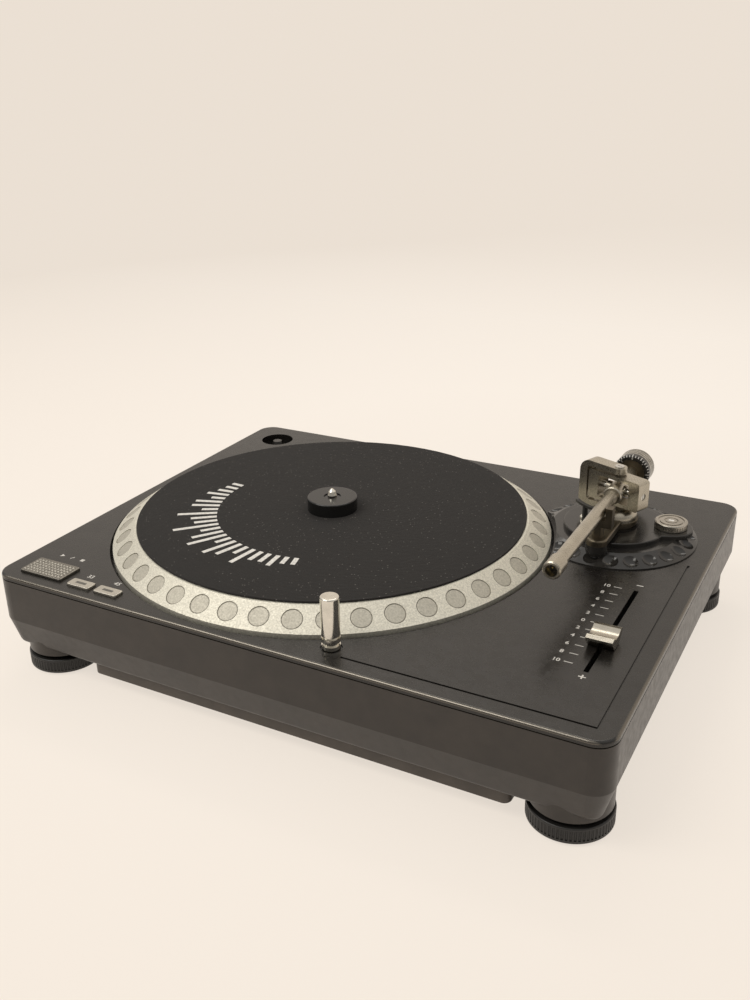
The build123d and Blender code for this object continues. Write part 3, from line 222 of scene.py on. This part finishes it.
class Look:
    """A material with its Principled shader and short ways to add nodes."""

    def __init__(self, name):
        self.material = bpy.data.materials.new(name)
        self.material.use_nodes = True
        self.tree = self.material.node_tree
        self.shader = self.tree.nodes["Principled BSDF"]
        self.coordinates = self.tree.nodes.new("ShaderNodeTexCoord").outputs["Object"]
        self.colour = None

    def set(self, **values):
        """Plain values of the shader, each under its socket's name."""
        for key, value in values.items():
            self.shader.inputs[key.replace("_", " ")].default_value = value
        return self

    def add(self, kind, **settings):
        node = self.tree.nodes.new(kind)
        for key, value in settings.items():
            setattr(node, key, value)
        return node

    def link(self, output, socket):
        self.tree.links.new(output, socket)

    def feed(self, output, socket_name):
        self.link(output, self.shader.inputs[socket_name])

    def paint(self, colour):
        """Feeds the base colour, and keeps it for a mix with another."""
        self.colour = colour
        self.feed(colour, "Base Color")

    def axis(self, name):
        """Place along one axis of the object."""
        place = self.add("ShaderNodeSeparateXYZ")
        self.link(self.coordinates, place.inputs["Vector"])
        return place.outputs[name]

    def calculate(self, operation, *values):
        node = self.add("ShaderNodeMath", operation=operation)
        for socket, value in zip(node.inputs, values):
            if isinstance(value, float):
                socket.default_value = value
            else:
                self.link(value, socket)
        return node.outputs["Value"]

    def remap(self, value, source, target=(0.0, 1.0)):
        """Moves one range of values to another, and holds it there."""
        node = self.add("ShaderNodeMapRange")
        for key, number in zip(("From Min", "From Max", "To Min", "To Max"), (*source, *target)):
            node.inputs[key].default_value = number
        self.link(value, node.inputs["Value"])
        return node.outputs["Result"]

    def ramp(self, value, places, colours):
        """Colour that goes from the first to the second between two places of a value."""
        node = self.add("ShaderNodeValToRGB")
        for stop, place, colour in zip(node.color_ramp.elements, places, colours):
            stop.position = place
            stop.color = (*colour, 1)
        self.link(value, node.inputs["Fac"])
        return node.outputs["Color"]

    def mix(self, factor, under, over):
        """Colour under a plain colour that covers it as the factor grows."""
        node = self.add("ShaderNodeMix", data_type="RGBA")
        node.inputs["B"].default_value = (*over, 1)
        self.link(factor, node.inputs["Factor"])
        self.link(under, node.inputs["A"])
        return node.outputs["Result"]

    def noise(self, scale, detail, stretch=(1, 1, 1)):
        texture = self.add("ShaderNodeTexNoise")
        texture.inputs["Scale"].default_value = scale
        texture.inputs["Detail"].default_value = detail
        source = self.coordinates
        if stretch != (1, 1, 1):
            mapping = self.add("ShaderNodeMapping")
            mapping.inputs["Scale"].default_value = stretch
            self.link(source, mapping.inputs["Vector"])
            source = mapping.outputs["Vector"]
        self.link(source, texture.inputs["Vector"])
        return texture.outputs["Fac"]

    def mottle(self, colour, share, scale, detail):
        """Base colour that wanders, by a share of itself, darker and paler."""
        shades = (tinted(colour, 1 - share), tinted(colour, 1 + share))
        self.paint(self.ramp(self.noise(scale, detail), noise_span, shades))

    def gloss(self, noise, roughness, spread):
        """Uneven roughness."""
        self.feed(self.remap(noise, noise_span, (roughness - spread, roughness + spread)), "Roughness")

    def bump(self, height, strength, distance):
        node = self.add("ShaderNodeBump")
        node.inputs["Strength"].default_value = strength
        node.inputs["Distance"].default_value = distance
        self.link(height, node.inputs["Height"])
        self.feed(node.outputs["Normal"], "Normal")


def grained(name, colour, roughness, grain_scale, grain_depth, mottle=0.2, mottle_scale=60.0, **values):
    """Paint or moulded plastic: mottled colour, uneven gloss and a fine grain."""
    look = Look(name).set(**values)
    look.mottle(colour, mottle, mottle_scale, detail=4.0)
    look.gloss(look.noise(mottle_scale * paint_gloss_scale, detail=3.0), roughness, paint_gloss_spread)
    look.bump(look.noise(grain_scale, detail=2.0), strength=0.5, distance=grain_depth)
    return look


def metal(name, colour, roughness, stretch=(1, 1, 1), scale=900.0, depth=0.02 * MM, mottle=0.08,
          mottle_scale=140.0):
    """Cast, turned or brushed metal, with its marks drawn out along the axes of lower scale."""
    look = Look(name).set(Metallic=1.0)
    look.mottle(colour, mottle, mottle_scale, detail=3.0)
    marks = look.noise(scale, 3.0, stretch)
    look.gloss(marks, roughness, metal_gloss_spread)
    look.bump(marks, strength=0.4, distance=depth)
    return look


def deck_look():
    """Black deck paint, with a painted highlight along the rounded outer edge: paler colour and metal there.
    """
    look = grained("deck_paint", deck_colour, 0.27, 2600.0, 0.03 * MM)
    sides = []
    for axis, half in (("X", deck_high.x), ("Y", deck_high.y)):
        reach = look.calculate("ABSOLUTE", look.axis(axis))
        inner = half - edge_width
        sides.append(look.remap(reach, (inner, inner + edge_side_fade * edge_width)))
    low = deck_top - edge_width
    upper = look.remap(look.axis("Z"), (low, low + edge_low_fade * edge_width))
    edge = look.calculate("MULTIPLY", look.calculate("MAXIMUM", *sides), upper)
    # the edge mask paints a highlight: paler base colour and metal along the rounded edge
    look.paint(look.mix(edge, look.colour, painted_highlight_colour))
    look.feed(edge, "Metallic")
    return look


def felt_look():
    """Black felt: fine fibres with pale lint scattered over them."""
    look = Look("black_felt")
    look.set(Roughness=0.95, Sheen_Weight=0.07, Sheen_Roughness=0.6, Sheen_Tint=felt_sheen)
    fibres = look.noise(fibre_scale, detail=4.0)
    cells = look.add("ShaderNodeTexVoronoi")
    cells.inputs["Scale"].default_value = lint_scale
    look.link(look.coordinates, cells.inputs["Vector"])
    near = look.ramp(cells.outputs["Distance"], lint_radius, (white, black))
    chosen = look.ramp(cells.outputs["Color"], lint_choice, (black, white))
    lint = look.calculate("MULTIPLY", near, chosen)
    look.paint(look.mix(lint, look.ramp(fibres, fibre_span, fibre_colours), lint_colour))
    look.bump(fibres, strength=0.8, distance=fibre_depth)
    return look


def cue_lever_look():
    """Black lever whose upright knob, above the lever's bar, is bright metal."""
    look = Look("cue_lever").set(Roughness=0.35)
    knob = look.calculate("GREATER_THAN", look.axis("Z"), cue_knob_low)
    look.paint(look.ramp(knob, (0.0, 1.0), (cue_bar_colour, cue_knob_colour)))
    look.feed(knob, "Metallic")
    return look


def stage_look():
    """Cream floor and backdrop, paler round the object, that partly glow to the camera and in gloss."""
    look = Look("studio_cream").set(Roughness=0.9, Specular_IOR_Level=0.0, Base_Color=stage_colour)
    away = look.add("ShaderNodeVectorMath", operation="DISTANCE")
    away.inputs[1].default_value = stage_middle
    look.link(look.coordinates, away.inputs[0])
    fade = look.remap(away.outputs["Value"], stage_fade)
    glow = look.add("ShaderNodeEmission")
    look.link(look.ramp(fade, (0.0, 1.0), (stage_pale, stage_dim)), glow.inputs["Color"])
    paths = look.add("ShaderNodeLightPath")
    seen = look.calculate("MAXIMUM", paths.outputs["Is Camera Ray"], paths.outputs["Is Glossy Ray"])
    share = look.calculate("MULTIPLY", seen, look.remap(look.axis("Y"), glow_grows, (floor_glow, 1.0)))
    mix = look.add("ShaderNodeMixShader")
    look.link(share, mix.inputs["Fac"])
    look.link(look.shader.outputs["BSDF"], mix.inputs[1])
    look.link(glow.outputs["Emission"], mix.inputs[2])
    look.link(mix.outputs["Shader"], look.tree.nodes["Material Output"].inputs["Surface"])
    return look


# Colour and roughness, and for paint and plastic also the scale and depth of the grain
LOOKS = {
    "deck_paint": deck_look(),
    "plinth": grained("plinth_plastic", (0.028, 0.0222, 0.0178), 0.34, 2200.0, 0.05 * MM),
    "tray": grained("tray_plastic", (0.066, 0.055, 0.046), 0.40, 2200.0, 0.05 * MM),
    "black": grained("black_plastic", (0.014, 0.0130, 0.0120), 0.42, 2600.0, 0.04 * MM),
    "bezel": grained("bezel_plastic", (0.022, 0.0202, 0.0182), 0.18, 2600.0, 0.006 * MM),
    "gloss": grained("gloss_black", (0.010, 0.0098, 0.0095), 0.16, 900.0, 0.005 * MM, mottle=0.1),
    "rubber": grained("foot_rubber", (0.012, 0.0112, 0.0105), 0.70, 3000.0, 0.05 * MM),
    "platter": metal("platter_alloy", (0.74, 0.715, 0.630), 0.66, scale=800.0, depth=0.14 * MM, mottle=0.15,
                     mottle_scale=900.0),
    "dots": metal("platter_dots", (0.56, 0.535, 0.465), 0.66, scale=800.0, depth=0.14 * MM, mottle=0.13,
                  mottle_scale=900.0),
    # dark metal of the sheets that paint shade in the gaps round the dots
    "dot_shade": metal("dot_painted_shade", (0.24, 0.225, 0.195), 0.60, scale=800.0, depth=0.05 * MM),
    "arm": metal("arm_nickel", (0.44, 0.405, 0.335), 0.30, scale=1500.0, depth=0.003 * MM),
    "tongue": metal("bronzed_nickel", (0.15, 0.128, 0.094), 0.36, scale=1500.0, depth=0.03 * MM, mottle=0.16),
    "steel": metal("bright_steel", (0.66, 0.65, 0.62), 0.22),
    "chrome": metal("turned_chrome", (0.70, 0.67, 0.60), 0.18, stretch=(1, 1, 12), scale=700.0,
                    depth=0.01 * MM),
    "weight": metal("turned_weight", (0.40, 0.385, 0.345), 0.26, stretch=(1, 12, 1), scale=700.0, mottle=0.2),
    "knob": metal("brushed_knob", (0.47, 0.435, 0.37), 0.24, stretch=(0.06, 1, 1), scale=1800.0),
    "skate": metal("skate_alloy", (0.40, 0.375, 0.330), 0.30, scale=1500.0, mottle=0.12),
    "bronze": metal("bearing_bronze", (0.45, 0.33, 0.18), 0.35),
    "iron": metal("lamination_iron", (0.30, 0.30, 0.31), 0.50),
    "copper": metal("coil_copper", (0.62, 0.30, 0.14), 0.35, stretch=(1, 1, 8), scale=1600.0),
    "gold": metal("gold_plate", (0.80, 0.62, 0.25), 0.25),
    "board": grained("circuit_board", (0.035, 0.16, 0.07), 0.45, 1500.0, 0.03 * MM),
    "button": metal("silver_button", (0.50, 0.472, 0.415), 0.42, scale=1500.0),
    "studs": metal("start_studs", (0.23, 0.216, 0.189), 0.36, scale=1500.0),
    "button_strip": grained("button_strip", (0.10, 0.092, 0.078), 0.40, 2400.0, 0.03 * MM, mottle=0.1),
    "print": grained("white_print", (0.62, 0.60, 0.56), 0.60, 2600.0, 0.01 * MM, mottle=0.12,
                     mottle_scale=500.0),
    "felt_print": grained("felt_print", (0.72, 0.70, 0.66), 0.85, 2600.0, 0.12 * MM, mottle=0.18,
                          mottle_scale=700.0),
    "mark": grained("bright_mark", (0.86, 0.84, 0.80), 0.35, 900.0, 0.002 * MM, mottle=0.05),
    "lens": grained("lamp_lens", (0.75, 0.76, 0.78), 0.12, 900.0, 0.002 * MM, mottle=0.05,
                    Transmission_Weight=0.6),
    "felt": felt_look(),
    "cue_lever": cue_lever_look(),
}
NODE_LOOKS = {
    "top_cover": "deck_paint", "plinth": "plinth", "bottom_cover": "tray", "machine_screws": "steel",
    "main_board": "board", "transformer": "iron", "terminal_panel": "black", "power_inlet": "black",
    "switch_frame": "black", "power_rocker": "gloss", "signal_jacks": "gold", "ground_stud": "steel",
    "ground_nut": "steel", "platter": "platter", "spindle": "chrome", "rotor_magnet": "iron",
    "bearing_housing": "bronze", "thrust_pad": "black", "motor_board": "board", "stator_core": "iron",
    "stator_coils": "copper", "single_adaptor": "gloss", "button_board": "board", "button_switches": "black",
    "target_light_sleeve": "black", "target_light_post": "chrome", "target_lamp": "lens",
    "pitch_fader": "black", "pitch_knob": "knob", "arm_bezel": "bezel", "arm_base_plate": "bezel",
    "arm_pedestal": "tongue", "gimbal_yoke": "arm", "vertical_pivots": "steel", "gimbal_frame": "arm",
    "side_pivot_screws": "steel", "arm_hub": "arm", "arm_tube": "arm", "arm_collar": "arm",
    "contact_block": "black", "contact_pins": "gold", "rear_stub": "arm", "weight_bush": "tongue",
    "counterweight": "weight", "force_dial": "bezel", "anti_skate_knob": "skate", "cue_lift": "black",
    "cue_lever": "cue_lever", "start_stop_button": "studs", "speed_33_button": "button",
    "speed_45_button": "button",
}


def dress_nodes():
    for name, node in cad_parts.items():
        look = NODE_LOOKS.get(name)
        if look is None:
            look = "rubber" if name.startswith("foot_pad") else "black"
        node.data.materials.clear()
        node.data.materials.append(LOOKS[look].material)


# Piece helpers
def add_piece(name, mesh, look, body):
    """New object for a mesh, riding on a body."""
    mesh.materials.clear()
    mesh.materials.append(LOOKS[look].material)
    made = bpy.data.objects.new(name, mesh)
    bpy.context.scene.collection.objects.link(made)
    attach(made, body)
    return made


def piece(name, fill, look, body):
    """Piece whose mesh is made by fill(bm)."""
    mesh = bpy.data.meshes.new(name)
    bm = bmesh.new()
    fill(bm)
    bmesh.ops.recalc_face_normals(bm, faces=bm.faces)
    bm.to_mesh(mesh)
    bm.free()
    return add_piece(name, mesh, look, body)


def lettering(name, words, size, place, body):
    """Flat printed characters, as a thin mesh."""
    curve = bpy.data.curves.new(name, "FONT")
    curve.body = words
    curve.size = size
    curve.align_x = "CENTER"
    curve.align_y = "CENTER"
    curve.extrude = print_thickness / 2
    curve.offset = letter_weight * size
    shape = bpy.data.objects.new(name + "_curve", curve)
    mesh = bpy.data.meshes.new_from_object(shape)
    bpy.data.objects.remove(shape)
    bpy.data.curves.remove(curve)
    mesh.transform(place)
    mesh.name = name
    return add_piece(name, mesh, "print", body)


def at(x, y, z, turn=0.0):
    """Matrix at a point, turned about Z."""
    return Matrix.Translation((x, y, z)) @ Matrix.Rotation(turn, 4, "Z")


def add_box(bm, place, size):
    """Box of a size, with its middle placed by a matrix."""
    bmesh.ops.create_cube(bm, size=1.0, matrix=place @ Matrix.Diagonal((*size, 1)))


def add_ring(bm, place, radius, heights):
    """Circle of new vertices round the Z axis of a matrix, one for each height."""
    vertices = []
    for index, height in enumerate(heights):
        turn = index * math.tau / len(heights)
        point = Vector((radius * math.cos(turn), radius * math.sin(turn), height))
        vertices.append(bm.verts.new(place @ point))
    return vertices


def bridge(bm, lower, upper):
    """Quads between two rings of as many vertices."""
    for index in range(len(lower)):
        after = (index + 1) % len(lower)
        bm.faces.new((lower[index], lower[after], upper[after], upper[index]))


# Platter and slipmat
def bevel_frame(angle):
    """Matrix at the middle of the bevel, X along its slope and Z out of it."""
    top = mat_low.z
    low = deck_top + bevel_low_height
    middle = Vector(((bevel_top_radius + platter_radius) / 2, 0, (top + low) / 2))
    slope = math.atan2(top - low, platter_radius - bevel_top_radius)
    turn = Matrix.Translation(platter_axis) @ Matrix.Rotation(angle, 4, "Z")
    return turn @ Matrix.Translation(middle) @ Matrix.Rotation(slope, 4, "Y")


def dot_discs(radius, low, thickness):
    """Thin disc with a chamfered edge in each recess of the bevel, low above the recess."""
    profile = ((radius, 0.0), (radius, thickness * dot_wall), (radius - thickness, thickness))

    def fill(bm):
        for index in range(dot_count):
            place = bevel_frame(dot_start + index * math.tau / dot_count)
            place = place @ Matrix.Translation((0, 0, low - dot_recess))
            rings = [add_ring(bm, place, size, [height] * dot_sides) for size, height in profile]
            for lower, upper in zip(rings, rings[1:]):
                bridge(bm, lower, upper)
            bm.faces.new(rings[0])
            bm.faces.new(rings[-1])
    return fill


def felt_mat(bm):
    """Felt disc with a soft edge and a slightly uneven top."""
    draws = random.Random(mat_seed)
    thickness = mat_high.z - mat_low.z
    edge = mat_radius - mat_edge_round
    step = (edge - mat_hole_radius) / mat_rings
    profile = [(mat_hole_radius + i * step, mat_high.z) for i in range(mat_rings + 1)]
    for i in range(1, mat_edge_steps + 1):
        turn = i * math.pi / (2 * mat_edge_steps)
        profile.append((edge + mat_edge_round * math.sin(turn),
                        mat_high.z - mat_edge_round * (1 - math.cos(turn))))
    profile.append((mat_radius - mat_under_inset, mat_low.z))
    profile.append((mat_hole_radius, mat_low.z))
    rings = []
    for radius, height in profile:
        heights = [height] * mat_segments
        if height > mat_low.z + thickness / 2:
            heights = [height + draws.uniform(-1, 0) * mat_fuzz for height in heights]
        rings.append(add_ring(bm, Matrix.Translation(platter_axis), radius, heights))
    for lower, upper in zip(rings, rings[1:] + rings[:1]):
        bridge(bm, lower, upper)


def mat_bars(bm):
    """Radial bars along an arc of the mat, longer and shorter by a smooth rule."""
    short, tall = bar_lengths
    first, last = bar_arc
    for index in range(bar_count):
        share = index / (bar_count - 1)
        angle = math.radians(first + share * (last - first))
        beat = bar_steady + (1 - bar_steady) * math.cos(index * bar_beat)
        length = short + (tall - short) * abs(math.sin(math.pi * share) * beat)
        radius = bar_inner_radius + length / 2
        middle = platter_axis + Vector((radius * math.cos(angle), radius * math.sin(angle), mat_high.z))
        add_box(bm, at(middle.x, middle.y, middle.z + print_lift, angle), (length, bar_width, 2 * mat_fuzz))


def make_platter():
    # dark sheets paint shade in the gap round each disc
    dot_shade_sheets = dot_discs(dot_shade_radius, print_lift, dot_shade_thickness)
    piece("platter_dot_shade", dot_shade_sheets, "dot_shade", "platter_body")
    discs = dot_discs(dot_radius, 2 * print_lift + dot_shade_thickness, dot_thickness)
    piece("platter_dot_discs", discs, "dots", "platter_body")
    mat = piece("felt_slipmat", felt_mat, "felt", "mat_body")
    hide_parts("slipmat")
    bars = piece("slipmat_print", mat_bars, "felt_print", "mat_body")


# Deck prints, buttons and dials
def tick_y(index):
    return scale_first_y + index * (scale_last_y - scale_first_y) / (scale_count - 1)


def scale_marks(bm):
    """Ticks of the pitch scale, with a plus and a minus at its ends."""
    first, last = scale_tick
    for index in range(scale_count):
        add_box(bm, at((first + last) / 2, tick_y(index), deck_print),
                (last - first, scale_tick_width, print_thickness))
    for x, y in (plus_at, minus_at):
        add_box(bm, at(x, y, deck_print), (sign_size, sign_width, print_thickness))
    x, y = plus_at
    upright = (sign_size - sign_width) / 2
    for side in (-1, 1):
        add_box(bm, at(x, y + side * (sign_width + upright) / 2, deck_print),
                (sign_width, upright, print_thickness))


def start_symbols(bm):
    """Triangle, slash and square behind the start button."""
    low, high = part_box("start_stop_button")
    x = (low.x + high.x) / 2
    y = high.y + symbol_gap
    bmesh.ops.create_cone(bm, cap_ends=True, segments=3, radius1=triangle_radius, radius2=triangle_radius,
                          depth=print_thickness, matrix=at(x - symbol_spread, y, deck_print, -math.pi / 2))
    add_box(bm, at(x, y, deck_print, slash_turn), (symbol_size, slash_width, print_thickness))
    add_box(bm, at(x + symbol_spread, y, deck_print), (square_side, square_side, print_thickness))


def make_prints():
    piece("pitch_scale_marks", scale_marks, "print", "base")
    for index in range(scale_count):
        number = abs(scale_full - scale_step * index)
        place = at(scale_number_x, tick_y(index), deck_print)
        lettering(f"pitch_number_{index}", str(number), scale_number_size, place, "base")
    for speed in ("33", "45"):
        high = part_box(f"speed_{speed}_button")[1]
        place = at(high.x - label_inset, high.y + label_gap, deck_print)
        lettering("label_" + speed, speed, label_size, place, "base")
    piece("start_symbols", start_symbols, "print", "base")


def button_top(node):
    """Box of the part of a button that stands above the deck, without its flange below."""
    low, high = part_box(node)
    flange = Vector((button_flange, button_flange, 0))
    return Vector((low.x, low.y, deck_top)) + flange, high - flange


def start_studs(bm):
    """Small pyramids all over the top of the start button."""
    low, high = button_top("start_stop_button")
    step_x = (high.x - low.x - 2 * stud_margin) / stud_columns
    step_y = (high.y - low.y - 2 * stud_margin) / stud_rows
    for column in range(stud_columns):
        for row in range(stud_rows):
            x = low.x + stud_margin + (column + 0.5) * step_x
            y = low.y + stud_margin + (row + 0.5) * step_y
            bmesh.ops.create_cone(bm, cap_ends=True, segments=4, radius1=step_x * stud_foot / math.sqrt(2),
                                  radius2=step_x * stud_top, depth=stud_height,
                                  matrix=at(x, y, high.z + stud_height / 2, math.pi / 4))


def button_strip(node):
    """Dark bar let into the middle of a speed button."""
    def fill(bm):
        low, high = button_top(node)
        middle = (low + high) / 2
        length = (high.x - low.x) * strip_share[0]
        width = (high.y - low.y) * strip_share[1]
        add_box(bm, at(middle.x, middle.y, high.z), (length, width, strip_thickness))
    return fill


def make_buttons():
    piece("start_button_studs", start_studs, "studs", "start_stop_key")
    for speed in ("speed_33", "speed_45"):
        strip = button_strip(speed + "_button")
        piece(speed + "_strip", strip, "button_strip", speed + "_key")


def dial_front():
    """Matrix on the axis of the force dial, in the plane of its front."""
    low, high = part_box("force_dial")
    return Matrix.Translation(((low.x + high.x) / 2, low.y, (low.z + high.z) / 2))


def dial_marks(bm):
    """White graduations over the sloping edge of the force dial, some carried on along its rim."""
    slope = dial_cone * math.sqrt(2)
    on_slope = Matrix.Translation((0, dial_cone / 2, dial_front_radius + dial_cone / 2))
    on_slope = on_slope @ Matrix.Rotation(math.pi / 4, 4, "X")
    on_rim = Matrix.Translation((0, dial_cone + dial_tick_length / 2, dial_front_radius + dial_cone))
    for index in range(dial_ticks):
        turn = dial_front() @ Matrix.Rotation(index * math.tau / dial_ticks, 4, "Y")
        add_box(bm, turn @ on_slope, (dial_tick_width, slope, dial_tick_thickness))
        if index % dial_long_every == 0:
            add_box(bm, turn @ on_rim, (dial_tick_width, dial_tick_length, dial_tick_thickness))


def skate_mark(bm):
    """Bright bar across the top of the anti-skate knob."""
    low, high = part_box("anti_skate_knob")
    add_box(bm, at((low.x + high.x) / 2, (low.y + high.y) / 2, high.z + print_thickness / 2),
            (*skate_mark_size, print_thickness))


def make_arm_details():
    piece("force_dial_marks", dial_marks, "print", "dial")
    on_face = Matrix.Translation((0, -print_lift, dial_number_radius)) @ Matrix.Rotation(math.pi / 2, 4, "X")
    for index in range(dial_numbers):
        turn = Matrix.Rotation(index * math.tau / dial_numbers, 4, "Y")
        number = str(index % dial_cycle)
        lettering(f"dial_number_{index}", number, dial_number_size, dial_front() @ turn @ on_face, "dial")
    piece("anti_skate_mark", skate_mark, "mark", "anti_skate")


# Studio
def make_stage():
    """Floor that bends up into a wall behind the object."""
    mesh = bpy.data.meshes.new("studio")
    bm = bmesh.new()
    profile = [(floor_front, 0.0), (wall_start, 0.0)]
    for i in range(1, wall_steps + 1):
        turn = i * math.pi / (2 * wall_steps)
        profile.append((wall_start + wall_bend * math.sin(turn), wall_bend * (1 - math.cos(turn))))
    profile.append((wall_start + wall_bend, wall_top))
    rows = [[bm.verts.new((x, y, z)) for x in (-floor_half, floor_half)] for y, z in profile]
    for lower, upper in zip(rows, rows[1:]):
        bm.faces.new((lower[0], lower[1], upper[1], upper[0]))
    bm.to_mesh(mesh)
    bm.free()
    for face in mesh.polygons:
        face.use_smooth = True
    mesh.materials.append(stage_look().material)
    stage = bpy.data.objects.new("studio", mesh)
    bpy.context.scene.collection.objects.link(stage)


def add_lamp(name, place, size, power):
    """Long soft lamp, tipped towards the object."""
    light = bpy.data.lights.new(name, "AREA")
    light.shape = "RECTANGLE"
    light.size, light.size_y = size
    light.energy = power
    light.color = lamp_colour
    lamp = bpy.data.objects.new(name, light)
    lamp.location = place
    lamp.rotation_euler = (math.atan2(-place[1], place[2]), 0, 0)
    lamp.visible_camera = False
    bpy.context.scene.collection.objects.link(lamp)


def make_light():
    """Lamps high on the left and behind, and a sky that is paler above and behind the object."""
    add_lamp("key", key_place, key_size, key_power)
    add_lamp("back", back_place, back_size, back_power)
    world = bpy.data.worlds.new("studio_world")
    world.use_nodes = True
    nodes = world.node_tree.nodes
    links = world.node_tree.links
    direction = nodes.new("ShaderNodeTexCoord")
    along = nodes.new("ShaderNodeVectorMath")
    along.operation = "DOT_PRODUCT"
    along.inputs[1].default_value = sky_bright_towards
    ramp = nodes.new("ShaderNodeValToRGB")
    ramp.color_ramp.elements[0].color = (*sky_dark, 1)
    ramp.color_ramp.elements[1].color = (*sky_bright, 1)
    ramp.color_ramp.elements[1].position = sky_bright_from
    links.new(direction.outputs["Generated"], along.inputs[0])
    links.new(along.outputs["Value"], ramp.inputs["Fac"])
    links.new(ramp.outputs["Color"], nodes["Background"].inputs["Color"])
    bpy.context.scene.world = world


def make_camera():
    """Camera turned to its azimuth, tipped down and rolled."""
    data = bpy.data.cameras.new("camera")
    data.lens = camera_lens
    data.sensor_width = camera_sensor
    camera = bpy.data.objects.new("camera", data)
    azimuth = Matrix.Rotation(math.radians(camera_azimuth), 4, "Z")
    tip = Matrix.Rotation(math.radians(90 - camera_elevation), 4, "X")
    roll = Matrix.Rotation(math.radians(camera_roll), 4, "Z")
    camera.matrix_world = Matrix.Translation(camera_place) @ azimuth @ tip @ roll
    bpy.context.scene.collection.objects.link(camera)
    bpy.context.scene.camera = camera


bpy.context.scene.view_settings.view_transform = "Standard"
dress_nodes()
make_camera()
make_stage()
make_light()
make_platter()
make_prints()
make_buttons()
make_arm_details()
